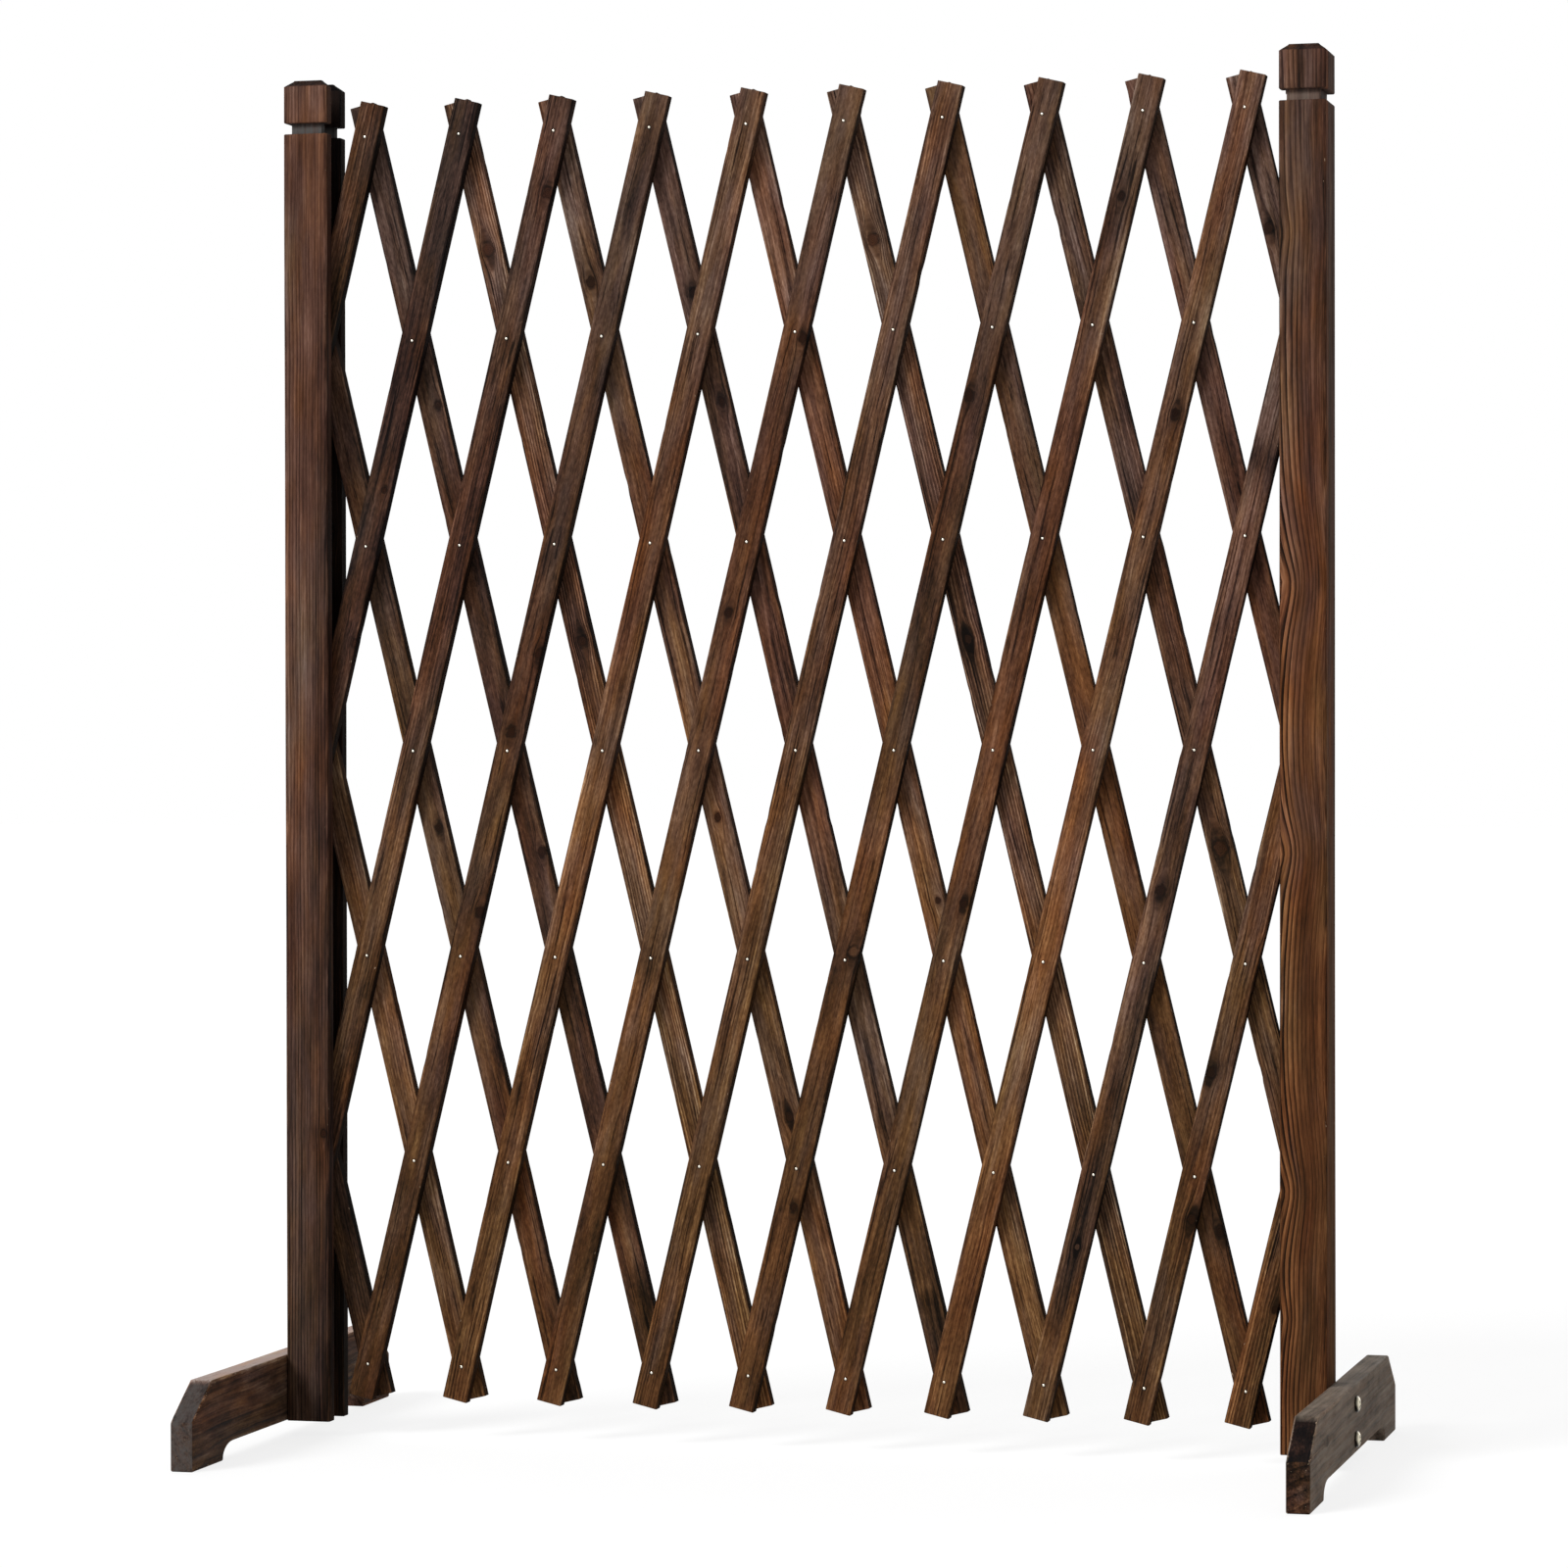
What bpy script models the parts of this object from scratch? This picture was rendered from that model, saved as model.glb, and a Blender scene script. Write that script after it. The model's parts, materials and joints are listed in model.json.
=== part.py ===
"""Expanding lattice trellis: two slotted posts on foot boards, with a riveted scissor lattice between them.

Metres, +Z up. The floor is z = 0, x = 0 is the middle of the lattice, and the front is -Y.
A crossing of two laths is called a node. Rows are counted from the top and columns from the
left; each second row lies half a column to the side, and its end nodes are inside the posts.
"""

import math

import bmesh
import bpy
from mathutils import Matrix, Vector

# Lattice
ROWS = 7
COLUMNS = 10
PIVOT_SPACING = 0.185
REST_ANGLE = math.radians(13.55)
LATH_WIDTH = 0.0225
LATH_THICKNESS = 0.0115
LATH_EDGE = 0.0008
LATH_END = 0.030
LATH_END_IN_POST = 0.012
LAYER_GAP = 0.0006

# Rivets and the hidden pins in the posts
RIVET_RADIUS = 0.0015
RIVET_PROUD = 0.0003
RIVET_CLEARANCE = 0.0004
PIVOT_PIN_RADIUS = 0.0020
PIVOT_PIN_BITE = 0.008
PIN_SIDES = 12

# Posts
BATTEN_THICKNESS = 0.013
SPACER_WIDTH = 0.010
SWEEP_CLEARANCE = 0.00105
PIVOT_TO_INNER_FACE = 0.0125
ROW_TO_POST_END = 0.0505
HEAD_CHAMFER_SIDE = 0.007
HEAD_CHAMFER_RISE = 0.006
HEAD_TO_GROOVE = 0.038
GROOVE_HEIGHT = 0.0095
GROOVE_DEPTH_SIDE = 0.006
GROOVE_DEPTH_FACE = 0.005
JOINT_GAP = 0.0003

# Feet
FOOT_LENGTH = 0.500
FOOT_HEIGHT = 0.072
FOOT_THICKNESS = 0.020
FOOT_CHAMFER_RUN = 0.046
FOOT_CHAMFER_RISE = 0.030
TOE_LENGTH = 0.070
ARCH_RISE = 0.014
ARCH_EASE = 0.026
ARCH_STEPS = 6

# Bolts
BOLT_HEAD_RADIUS = 0.0068
BOLT_HEAD_RISE = 0.0040
BOLT_HEAD_RIM = 0.0008
BOLT_SHANK_RADIUS = 0.0025
BOLT_TIP_COVER = 0.002
BOLT_TO_FOOT_TOP = 0.0165
BOLT_SPACING = 0.0295
BOLT_SIDES = 24
DOME_STEPS = 5

# Derived sizes
COLUMN_PITCH = 2 * PIVOT_SPACING * math.sin(REST_ANGLE)
ROW_PITCH = PIVOT_SPACING * math.cos(REST_ANGLE)
MIDDLE_ROW = (ROWS + 1) / 2
MIDDLE_COLUMN = (COLUMNS + 1) / 2
FIRST_COLUMN = MIDDLE_COLUMN - COLUMNS / 2
LAST_COLUMN = MIDDLE_COLUMN + COLUMNS / 2
SLOT_DEPTH = 2 * LATH_THICKNESS + 3 * LAYER_GAP
POST_DEPTH = SLOT_DEPTH + 2 * BATTEN_THICKNESS
POST_HEIGHT = (ROWS - 1) * ROW_PITCH + 2 * ROW_TO_POST_END
POST_BASE = ARCH_RISE
POST_TOP = POST_BASE + POST_HEIGHT
PIVOT_HEIGHT = POST_BASE + POST_HEIGHT / 2
END_SWEEP = math.hypot(LATH_END_IN_POST, LATH_WIDTH / 2)
PIVOT_TO_OUTER_FACE = SPACER_WIDTH + SWEEP_CLEARANCE + END_SWEEP
POST_INNER_X = COLUMNS * COLUMN_PITCH / 2 - PIVOT_TO_INNER_FACE
POST_OUTER_X = COLUMNS * COLUMN_PITCH / 2 + PIVOT_TO_OUTER_FACE
FOOT_INNER_X = POST_OUTER_X + JOINT_GAP
FOOT_OUTER_X = FOOT_INNER_X + FOOT_THICKNESS
GROOVE_TOP = POST_TOP - HEAD_TO_GROOVE
GROOVE_BASE = GROOVE_TOP - GROOVE_HEIGHT
FRONT_LAYER_Y = -(LAYER_GAP + LATH_THICKNESS) / 2
REAR_LAYER_Y = -FRONT_LAYER_Y
RIVET_HALF_LENGTH = LATH_THICKNESS + LAYER_GAP / 2 + RIVET_PROUD
RIVET_HOLE_RADIUS = RIVET_RADIUS + RIVET_CLEARANCE
PIVOT_HOLE_RADIUS = PIVOT_PIN_RADIUS + RIVET_CLEARANCE
BOLT_HOLE_RADIUS = BOLT_SHANK_RADIUS + JOINT_GAP
BOLT_HIGH_HEIGHT = FOOT_HEIGHT - BOLT_TO_FOOT_TOP
BOLT_LOW_HEIGHT = BOLT_HIGH_HEIGHT - BOLT_SPACING
CUT_OVERRUN = LATH_THICKNESS

COLOURS = {
    "front_lath": (0.066, 0.034, 0.020, 1),
    "rear_lath": (0.055, 0.027, 0.014, 1),
    "post": (0.078, 0.044, 0.029, 1),
    "foot": (0.062, 0.038, 0.025, 1),
    "bolt": (0.72, 0.62, 0.42, 1),
    "pin": (0.70, 0.56, 0.34, 1),
}


def clear_scene():
    for obj in list(bpy.data.objects):
        bpy.data.objects.remove(obj, do_unlink=True)


def make_material(name):
    metal = name in ("bolt", "pin")
    material = bpy.data.materials.new(name)
    material.use_nodes = True
    shader = material.node_tree.nodes["Principled BSDF"]
    shader.inputs["Base Color"].default_value = COLOURS[name]
    shader.inputs["Metallic"].default_value = 1.0 if metal else 0.0
    shader.inputs["Roughness"].default_value = 0.3 if metal else 0.75
    return material


def add_object(name, shape, location, material=None):
    """Makes an object of a bmesh that is in world coordinates, with its origin at location."""
    bmesh.ops.recalc_face_normals(shape, faces=shape.faces)
    shape.transform(Matrix.Translation(-Vector(location)))
    mesh = bpy.data.meshes.new(name)
    shape.to_mesh(mesh)
    shape.free()
    obj = bpy.data.objects.new(name, mesh)
    obj.location = location
    if material:
        mesh.materials.append(material)
    bpy.context.scene.collection.objects.link(obj)
    return obj


def add_layers(shape, layers):
    """Adds a closed body to the bmesh from loops of as many points each, the first and last of them capped."""
    loops = [[shape.verts.new(point) for point in layer] for layer in layers]
    for lower, upper in zip(loops, loops[1:]):
        for i in range(len(lower)):
            j = (i + 1) % len(lower)
            shape.faces.new((lower[i], lower[j], upper[j], upper[i]))
    shape.faces.new(loops[0][::-1])
    shape.faces.new(loops[-1])


def add_cylinder(shape, centre, axis, radius, near, far, sides):
    """Adds a closed cylinder about the axis through centre, from near to far along it."""
    turn = Vector(axis).to_track_quat("Z", "Y").to_matrix()
    angles = [2 * math.pi * k / sides for k in range(sides)]
    layers = [
        [
            Vector(centre) + turn @ Vector((radius * math.cos(angle), radius * math.sin(angle), end))
            for angle in angles
        ]
        for end in (near, far)
    ]
    add_layers(shape, layers)


def modify(obj, operation, shape):
    """Cuts the bmesh's bodies from the object, or joins them to it."""
    tool = add_object(f"{obj.name}_{operation.lower()}", shape, obj.location)
    tool.hide_render = True
    tool.display_type = "WIRE"
    boolean = obj.modifiers.new(operation.lower(), "BOOLEAN")
    boolean.operation = operation
    boolean.solver = "EXACT"
    boolean.object = tool


def node_point(column, row, y=0.0):
    """The place of a lattice node."""
    x = (column - MIDDLE_COLUMN) * COLUMN_PITCH
    return Vector((x, y, PIVOT_HEIGHT + (MIDDLE_ROW - row) * ROW_PITCH))


def lath_nodes(number, lean):
    """The (column, row) of the nodes on a lath; lean is 1 for a front lath and -1 for a rear one."""
    top = number if lean > 0 else number - (ROWS - 1) / 2
    nodes = [(top - lean * (row - 1) / 2, row) for row in range(1, ROWS + 1)]
    return [node for node in nodes if FIRST_COLUMN <= node[0] <= LAST_COLUMN]


def in_post(node):
    return node[0] in (FIRST_COLUMN, LAST_COLUMN)


def joint_node(nodes, lean):
    """The node that a lath turns on: nearest the middle row, or the row below it on a long front lath."""
    row = MIDDLE_ROW + 1 if lean > 0 and len(nodes) > ROWS / 2 else MIDDLE_ROW
    return min(nodes, key=lambda node: abs(node[1] - row))


def make_lath(name, number, lean, y, material):
    """A lath of eight-sided section along its nodes, with rivets formed on it or with holes for them."""
    nodes = lath_nodes(number, lean)
    upper, lower = node_point(*nodes[0], y), node_point(*nodes[-1], y)
    along = (upper - lower).normalized()
    across = Vector((along.z, 0, -along.x))
    depth = Vector((0, 1, 0))
    half_width, half_thickness = LATH_WIDTH / 2, LATH_THICKNESS / 2
    section = [
        (half_width, half_thickness - LATH_EDGE),
        (half_width - LATH_EDGE, half_thickness),
        (LATH_EDGE - half_width, half_thickness),
        (-half_width, half_thickness - LATH_EDGE),
        (-half_width, LATH_EDGE - half_thickness),
        (LATH_EDGE - half_width, -half_thickness),
        (half_width - LATH_EDGE, -half_thickness),
        (half_width, LATH_EDGE - half_thickness),
    ]
    ends = [
        lower - along * (LATH_END_IN_POST if in_post(nodes[-1]) else LATH_END),
        upper + along * (LATH_END_IN_POST if in_post(nodes[0]) else LATH_END),
    ]
    shape = bmesh.new()
    add_layers(shape, [[end + across * a + depth * d for a, d in section] for end in ends])
    obj = add_object(name, shape, node_point(*joint_node(nodes, lean), y), material)

    hung = [node for node in nodes if in_post(node) and node[1] == MIDDLE_ROW]
    riveted = [node for node in nodes if node not in hung]
    holes = [(node, PIVOT_HOLE_RADIUS) for node in hung]
    if lean < 0:
        holes += [(node, RIVET_HOLE_RADIUS) for node in riveted]
    else:
        rivets = bmesh.new()
        for node in riveted:
            add_cylinder(
                rivets, node_point(*node), depth, RIVET_RADIUS, -RIVET_HALF_LENGTH, RIVET_HALF_LENGTH, PIN_SIDES
            )
        modify(obj, "UNION", rivets)
    if holes:
        bores = bmesh.new()
        for node, radius in holes:
            add_cylinder(
                bores, node_point(*node, y), depth, radius, -LATH_THICKNESS, LATH_THICKNESS, PIN_SIDES
            )
        modify(obj, "DIFFERENCE", bores)


def rectangle(x, y, z):
    """Four corners at height z; x and y are (from, to)."""
    return [Vector((x[i], y[j], z)) for i, j in ((0, 0), (1, 0), (1, 1), (0, 1))]


def make_batten(name, side, face, material):
    """Half of a post: side is -1 left and 1 right; face is -1 front and 1 rear."""
    inner, outer = side * POST_INNER_X, side * POST_OUTER_X
    slot, outside = face * SLOT_DEPTH / 2, face * POST_DEPTH / 2
    chamfer = side * HEAD_CHAMFER_SIDE
    head = rectangle((inner + chamfer, outer - chamfer), (slot, outside - face * HEAD_CHAMFER_SIDE), POST_TOP)
    shape = bmesh.new()
    add_layers(
        shape,
        [
            rectangle((inner, outer), (slot, outside), POST_BASE),
            rectangle((inner, outer), (slot, outside), POST_TOP - HEAD_CHAMFER_RISE),
            head,
        ],
    )
    obj = add_object(name, shape, Vector((side * POST_INNER_X, 0, POST_BASE)), material)

    over = side * CUT_OVERRUN
    depth_side, depth_face = side * GROOVE_DEPTH_SIDE, face * GROOVE_DEPTH_FACE
    outline = [
        (inner - over, slot - face * CUT_OVERRUN),
        (inner + depth_side, slot - face * CUT_OVERRUN),
        (inner + depth_side, outside - depth_face),
        (outer - depth_side, outside - depth_face),
        (outer - depth_side, slot - face * CUT_OVERRUN),
        (outer + over, slot - face * CUT_OVERRUN),
        (outer + over, outside + face * CUT_OVERRUN),
        (inner - over, outside + face * CUT_OVERRUN),
    ]
    cuts = bmesh.new()
    add_layers(cuts, [[Vector((x, y, z)) for x, y in outline] for z in (GROOVE_BASE, GROOVE_TOP)])
    pin_x = side * COLUMNS * COLUMN_PITCH / 2
    reach = PIVOT_PIN_BITE + JOINT_GAP if face < 0 else BATTEN_THICKNESS + CUT_OVERRUN
    add_cylinder(
        cuts,
        (pin_x, slot, PIVOT_HEIGHT),
        (0, face, 0),
        PIVOT_PIN_RADIUS + JOINT_GAP,
        -CUT_OVERRUN,
        reach,
        PIN_SIDES,
    )
    modify(obj, "DIFFERENCE", cuts)


def bolt_bores(side):
    bores = bmesh.new()
    for height in (BOLT_LOW_HEIGHT, BOLT_HIGH_HEIGHT):
        add_cylinder(
            bores,
            (side * FOOT_OUTER_X, 0, height),
            (-side, 0, 0),
            BOLT_HOLE_RADIUS,
            -CUT_OVERRUN,
            FOOT_THICKNESS + SPACER_WIDTH + CUT_OVERRUN,
            PIN_SIDES,
        )
    return bores


def make_spacer(name, side, material):
    """The strip that closes the outer side of a post."""
    outer, inner = side * POST_OUTER_X, side * (POST_OUTER_X - SPACER_WIDTH)
    half = SLOT_DEPTH / 2 - JOINT_GAP
    chamfer = side * HEAD_CHAMFER_SIDE
    shape = bmesh.new()
    add_layers(
        shape,
        [
            rectangle((inner, outer), (-half, half), POST_BASE),
            rectangle((inner, outer), (-half, half), POST_TOP - HEAD_CHAMFER_RISE),
            rectangle((inner, outer - chamfer), (-half, half), POST_TOP),
        ],
    )
    obj = add_object(name, shape, Vector((outer, 0, POST_BASE)), material)
    cuts = bolt_bores(side)
    deep = half + CUT_OVERRUN
    add_layers(
        cuts,
        [
            rectangle((outer - side * GROOVE_DEPTH_SIDE, outer + side * CUT_OVERRUN), (-deep, deep), z)
            for z in (GROOVE_BASE, GROOVE_TOP)
        ],
    )
    modify(obj, "DIFFERENCE", cuts)


def make_foot(name, side, material):
    """A board on edge: chamfered upper corners, and an arch between two toes below."""
    half = FOOT_LENGTH / 2
    toe = half - TOE_LENGTH
    rear = [
        (toe - ARCH_EASE * (1 - math.cos(turn)), ARCH_RISE * math.sin(turn))
        for turn in (math.pi / 2 * step / ARCH_STEPS for step in range(ARCH_STEPS, -1, -1))
    ]
    rear += [
        (half, 0),
        (half, FOOT_HEIGHT - FOOT_CHAMFER_RISE),
        (half - FOOT_CHAMFER_RUN, FOOT_HEIGHT),
    ]
    outline = rear + [(-y, z) for y, z in reversed(rear)]
    shape = bmesh.new()
    add_layers(
        shape,
        [[Vector((side * x, y, z)) for y, z in outline] for x in (FOOT_INNER_X, FOOT_OUTER_X)],
    )
    obj = add_object(name, shape, Vector((side * FOOT_INNER_X, 0, 0)), material)
    modify(obj, "DIFFERENCE", bolt_bores(side))


def make_bolt(name, side, height, material):
    """A domed head on a plain shank: a half outline turned about the bolt's axis."""
    seat = FOOT_OUTER_X + JOINT_GAP
    tip = POST_OUTER_X - SPACER_WIDTH + BOLT_TIP_COVER
    dome = BOLT_HEAD_RISE - BOLT_HEAD_RIM
    outline = [(tip, BOLT_SHANK_RADIUS), (seat, BOLT_SHANK_RADIUS), (seat, BOLT_HEAD_RADIUS)]
    for step in range(DOME_STEPS):
        turn = math.pi / 2 * step / DOME_STEPS
        outline.append((seat + BOLT_HEAD_RIM + dome * math.sin(turn), BOLT_HEAD_RADIUS * math.cos(turn)))
    shape = bmesh.new()
    loops = []
    for along, radius in outline:
        points = []
        for k in range(BOLT_SIDES):
            turn = 2 * math.pi * k / BOLT_SIDES
            points.append(Vector((side * along, radius * math.cos(turn), height + radius * math.sin(turn))))
        loops.append(points)
    add_layers(shape, loops)
    crown = max(shape.faces, key=lambda face: side * face.calc_center_median().x)
    centre = Vector((side * (seat + BOLT_HEAD_RISE), 0, height))
    bmesh.ops.poke(shape, faces=[crown])
    max(shape.verts, key=lambda vert: len(vert.link_faces)).co = centre
    add_object(name, shape, Vector((side * seat, 0, height)), material)


def make_pivot_pin(name, side, material):
    """The pin through both end laths at half height, blind in the front batten."""
    x = side * COLUMNS * COLUMN_PITCH / 2
    shape = bmesh.new()
    add_cylinder(
        shape,
        (x, 0, PIVOT_HEIGHT),
        (0, 1, 0),
        PIVOT_PIN_RADIUS,
        -SLOT_DEPTH / 2 - PIVOT_PIN_BITE,
        POST_DEPTH / 2 - JOINT_GAP,
        PIN_SIDES,
    )
    add_object(name, shape, Vector((x, 0, PIVOT_HEIGHT)), material)


def build():
    clear_scene()
    materials = {name: make_material(name) for name in COLOURS}
    for number in range(1, COLUMNS + 4):
        make_lath(f"front_lath_{number:02d}", number, 1, FRONT_LAYER_Y, materials["front_lath"])
        make_lath(f"rear_lath_{number:02d}", number, -1, REAR_LAYER_Y, materials["rear_lath"])
    for word, side in (("left", -1), ("right", 1)):
        make_batten(f"{word}_front_batten", side, -1, materials["post"])
        make_batten(f"{word}_rear_batten", side, 1, materials["post"])
        make_spacer(f"{word}_spacer", side, materials["post"])
        make_foot(f"{word}_foot", side, materials["foot"])
        make_bolt(f"{word}_bolt_lower", side, BOLT_LOW_HEIGHT, materials["bolt"])
        make_bolt(f"{word}_bolt_upper", side, BOLT_HIGH_HEIGHT, materials["bolt"])
        make_pivot_pin(f"{word}_pivot_pin", side, materials["pin"])


build()
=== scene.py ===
import json
import math

import bpy
import numpy as np
from mathutils import Matrix, Vector


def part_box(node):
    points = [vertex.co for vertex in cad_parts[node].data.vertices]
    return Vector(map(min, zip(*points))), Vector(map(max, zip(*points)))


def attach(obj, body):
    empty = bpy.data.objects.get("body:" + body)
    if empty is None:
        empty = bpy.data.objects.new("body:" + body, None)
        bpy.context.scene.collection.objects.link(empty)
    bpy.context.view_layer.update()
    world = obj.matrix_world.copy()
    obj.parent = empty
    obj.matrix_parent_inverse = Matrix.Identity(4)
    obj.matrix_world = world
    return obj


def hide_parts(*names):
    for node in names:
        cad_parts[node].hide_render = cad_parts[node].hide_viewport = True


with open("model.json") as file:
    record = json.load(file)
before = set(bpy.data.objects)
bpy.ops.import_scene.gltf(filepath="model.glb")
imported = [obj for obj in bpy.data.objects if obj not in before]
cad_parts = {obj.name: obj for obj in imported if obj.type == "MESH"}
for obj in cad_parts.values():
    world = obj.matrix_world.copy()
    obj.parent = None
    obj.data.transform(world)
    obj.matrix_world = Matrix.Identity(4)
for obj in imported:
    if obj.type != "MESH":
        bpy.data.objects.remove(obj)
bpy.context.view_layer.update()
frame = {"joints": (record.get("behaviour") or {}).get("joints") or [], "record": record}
pivot = {joint["name"]: Vector(joint["pos_m"]) for joint in frame["joints"]}

# Laths
# Planed softwood strips, sawn square at both ends, then scorched and brushed, so that the hard
# late wood of each year stands out as a fine line. Thirteen lean right at their tops, in front,
# and thirteen lean left, behind. They cross in seven rows, and a crossing is called a node.
# Nodes also lie in columns, of which the first and the last are inside the posts.
mm = 0.001
rows = 7
columns = 10
lath_count = columns + 3
column_pitch = (pivot["right_post_turn"].x - pivot["lattice_open"].x) / columns
row_pitch = pivot["lattice_open"].z - pivot["front_lath_03_turn"].z
middle_height = pivot["lattice_open"].z
middle_row = (rows + 1) / 2
middle_column = (columns + 1) / 2
post_columns = (0.5, columns + 0.5)
node_spacing = math.hypot(row_pitch, column_pitch / 2)
lath_width = 0.0225
lath_end = 0.030
lath_end_in_post = 0.012
lath_arris = 0.0013
lath_inner_arris = 0.6 * lath_arris
lath_sawn_edge = 0.0005
lath_ring_step = 0.004
# How far a lath is bent, hollowed, wandering and nicked, each with the length of its waves
lath_bow, lath_bow_wave = 0.0004, 0.25
lath_hollow, lath_hollow_wave = 0.00015, 0.09
lath_wander, lath_wander_wave = 0.4 * lath_hollow, 0.05
lath_nick, lath_nick_wave = 0.0006, 0.012
nick_level = 1.1
# The heart of the tree: how far off it was, and how much it leans across and deep along a lath
heart_distance = (0.042, 0.075)
heart_lean = (0.007, 0.016)
# How far apart two laths lie in the grain, by their number and by their layer
grain_step = (1.7, 0.4)
# A knot so far off that it doesn't show, for pieces that have none
no_knot = (50.0, 0.0, 0.001)
# How much warmer the laths are four rows below the middle one
lath_warmth_fall = 0.44
# Rows, and how much lighter or darker the laths are there; then the share of rust red in them: its
# least, its most, the row of the most and its reach in rows
lath_shade_rows = (1.2, 1.9, 2.6, 3.3, 4.1, 4.8, 5.5, 6.9)
lath_shade = (0.068, 0.048, -0.002, -0.027, 0.033, 0.063, 0.018, -0.007)
lath_rust = (-0.15, 0.40, 3.1, 0.8)

# How each lath looks: its tone from black 0 to tan 1, its warmth from cool 0 to orange 1, how
# strongly its year lines show, and the angle of the saw cut: 0 is straight-grained, 90 arched.
front_boards = {
    # Lath 1 is set darker partly as painted shade, for the shadow of the left post on it
    1: (0.31, 0.85, 0.20, 15),
    2: (0.35, 0.39, 0.10, 30),
    3: (0.41, 0.53, 0.20, 10),
    4: (0.44, 0.61, 0.08, 84),
    5: (0.50, 0.70, 0.22, 12),
    6: (0.49, 0.64, 0.06, 86),
    7: (0.49, 0.67, 0.20, 8),
    8: (0.45, 0.72, 0.08, 70),
    9: (0.48, 0.65, 0.14, 60),
    10: (0.53, 0.69, 0.16, 25),
    11: (0.57, 0.36, 0.16, 40),
    12: (0.48, 0.56, 0.20, 14),
    13: (0.41, 0.72, 0.38, 20),
}
rear_boards = {
    1: (0.41, 0.28, 0.16, 20),
    2: (0.52, 0.54, 0.18, 12),
    3: (0.46, 0.57, 0.10, 78),
    4: (0.40, 0.38, 0.12, 80),
    5: (0.52, 0.64, 0.42, 14),
    6: (0.53, 0.57, 0.18, 30),
    7: (0.47, 0.43, 0.20, 66),
    8: (0.55, 0.63, 0.20, 10),
    9: (0.49, 0.53, 0.44, 8),
    10: (0.47, 0.83, 0.05, 85),
    11: (0.47, 0.52, 0.22, 16),
    12: (0.50, 0.47, 0.12, 60),
    13: (0.47, 0.39, 0.24, 72),
}
# Knots: the row that each lies at, and its place across the lath and its radius in millimetres; a
# pale knot has its radius written as less than nothing.
front_knots = {
    2: [(2.72, 5.6, 2.2), (3.46, 10, 3.6)],
    3: [(1.29, 7.5, 4.2)],
    4: [(3.52, 9, 4), (3.91, 0, 4), (4.77, 8.8, 4.2)],
    6: [(2.02, 8, 4), (3.34, -1.2, 3.4)],
    8: [(2.33, -6, 4), (4.95, 5.8, -4.6), (6.18, 5.6, 3.2)],
    9: [(1.4, -1, 3), (4.72, 6, 3.4)],
    10: [(2.42, 2.6, 3.6)],
    11: [(4.66, 0, 4.4), (6.34, 0.6, -2.6)],
    12: [(5.52, -7, 4.2), (6.19, 6.2, 4)],
    13: [(6.6, 7.8, 2.8)],
}
rear_knots = {
    3: [(4.38, 3, 3.6)],
    4: [(2.32, 6, 3.4), (4.5, 6, 4)],
    5: [(1.56, -1.6, 5.2), (3.47, 1.6, 4.2)],
    6: [(1.73, -2, 4.4), (4.32, 0, 3.4), (5.76, 1, 3.6)],
    7: [(1.8, 2, 4), (2.33, 4, 3.4)],
    8: [(4.72, 5, 3)],
    9: [(1.56, -1.6, 5.2), (3.47, -1, 4.2)],
    10: [(6.27, 8, 4)],
    11: [(1.95, -8, 3.6), (4.46, 0, 6.2)],
    13: [(1.55, -6, 4.6)],
}
# Smudges, worn places and painted highlights, the last being the narrow light strips along an
# edge, where a rounded arris catches the light: the row, the place across in millimetres, the reach
# along in rows, the reach across in millimetres, and how much lighter or darker the wood is there.
front_patches = {
    1: [(1.2, -6, 0.5, 6, 0.06)],
    2: [(1, 0, 1.1, 30, -0.06), (3.6, 4, 0.5, 10, 0.08)],
    3: [(1.3, 6, 0.12, 8, -0.16), (4.2, 0, 0.7, 20, 0.04)],
    4: [(1, -7, 0.3, 3, 0.16), (1.25, 1, 0.22, 5, -0.2), (4.8, 4, 0.2, 10, -0.1),
        (6.4, 0, 0.8, 20, -0.05)],
    5: [(1, 8, 0.5, 3, 0.14), (4.6, -9, 0.8, 3, 0.2), (3.7, -8, 0.4, 4, 0.1)],
    6: [(2.4, 4, 0.2, 8, -0.08), (5, -6, 0.6, 4, 0.06), (6.5, 0, 0.5, 20, -0.07)],
    7: [(2.1, -9, 0.6, 3, 0.1), (6.4, 4, 0.16, 6, 0.1)],
    8: [(5.1, 0, 0.16, 20, -0.12), (3.3, 0, 0.5, 10, -0.04), (6.9, 0, 0.3, 20, 0.05)],
    9: [(1.9, 9, 0.45, 3, 0.2), (1.4, 0, 0.2, 12, -0.1), (4.7, 3, 0.15, 20, -0.12)],
    10: [(1.4, 2, 0.5, 10, -0.06), (5.4, -2, 0.7, 6, 0.15), (3.4, 0, 0.2, 20, -0.05)],
    11: [(2.64, 0, 0.07, 30, -0.22), (3, -4, 0.3, 4, 0.12), (4.3, 6, 0.4, 20, -0.18),
        (5.3, 6, 0.8, 8, -0.24), (6.3, 0, 0.6, 20, -0.2)],
    12: [(5.5, -6, 0.1, 8, -0.14), (6.2, 6, 0.1, 8, -0.14)],
    13: [(6.8, -8, 0.4, 3, 0.26)],
}
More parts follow.
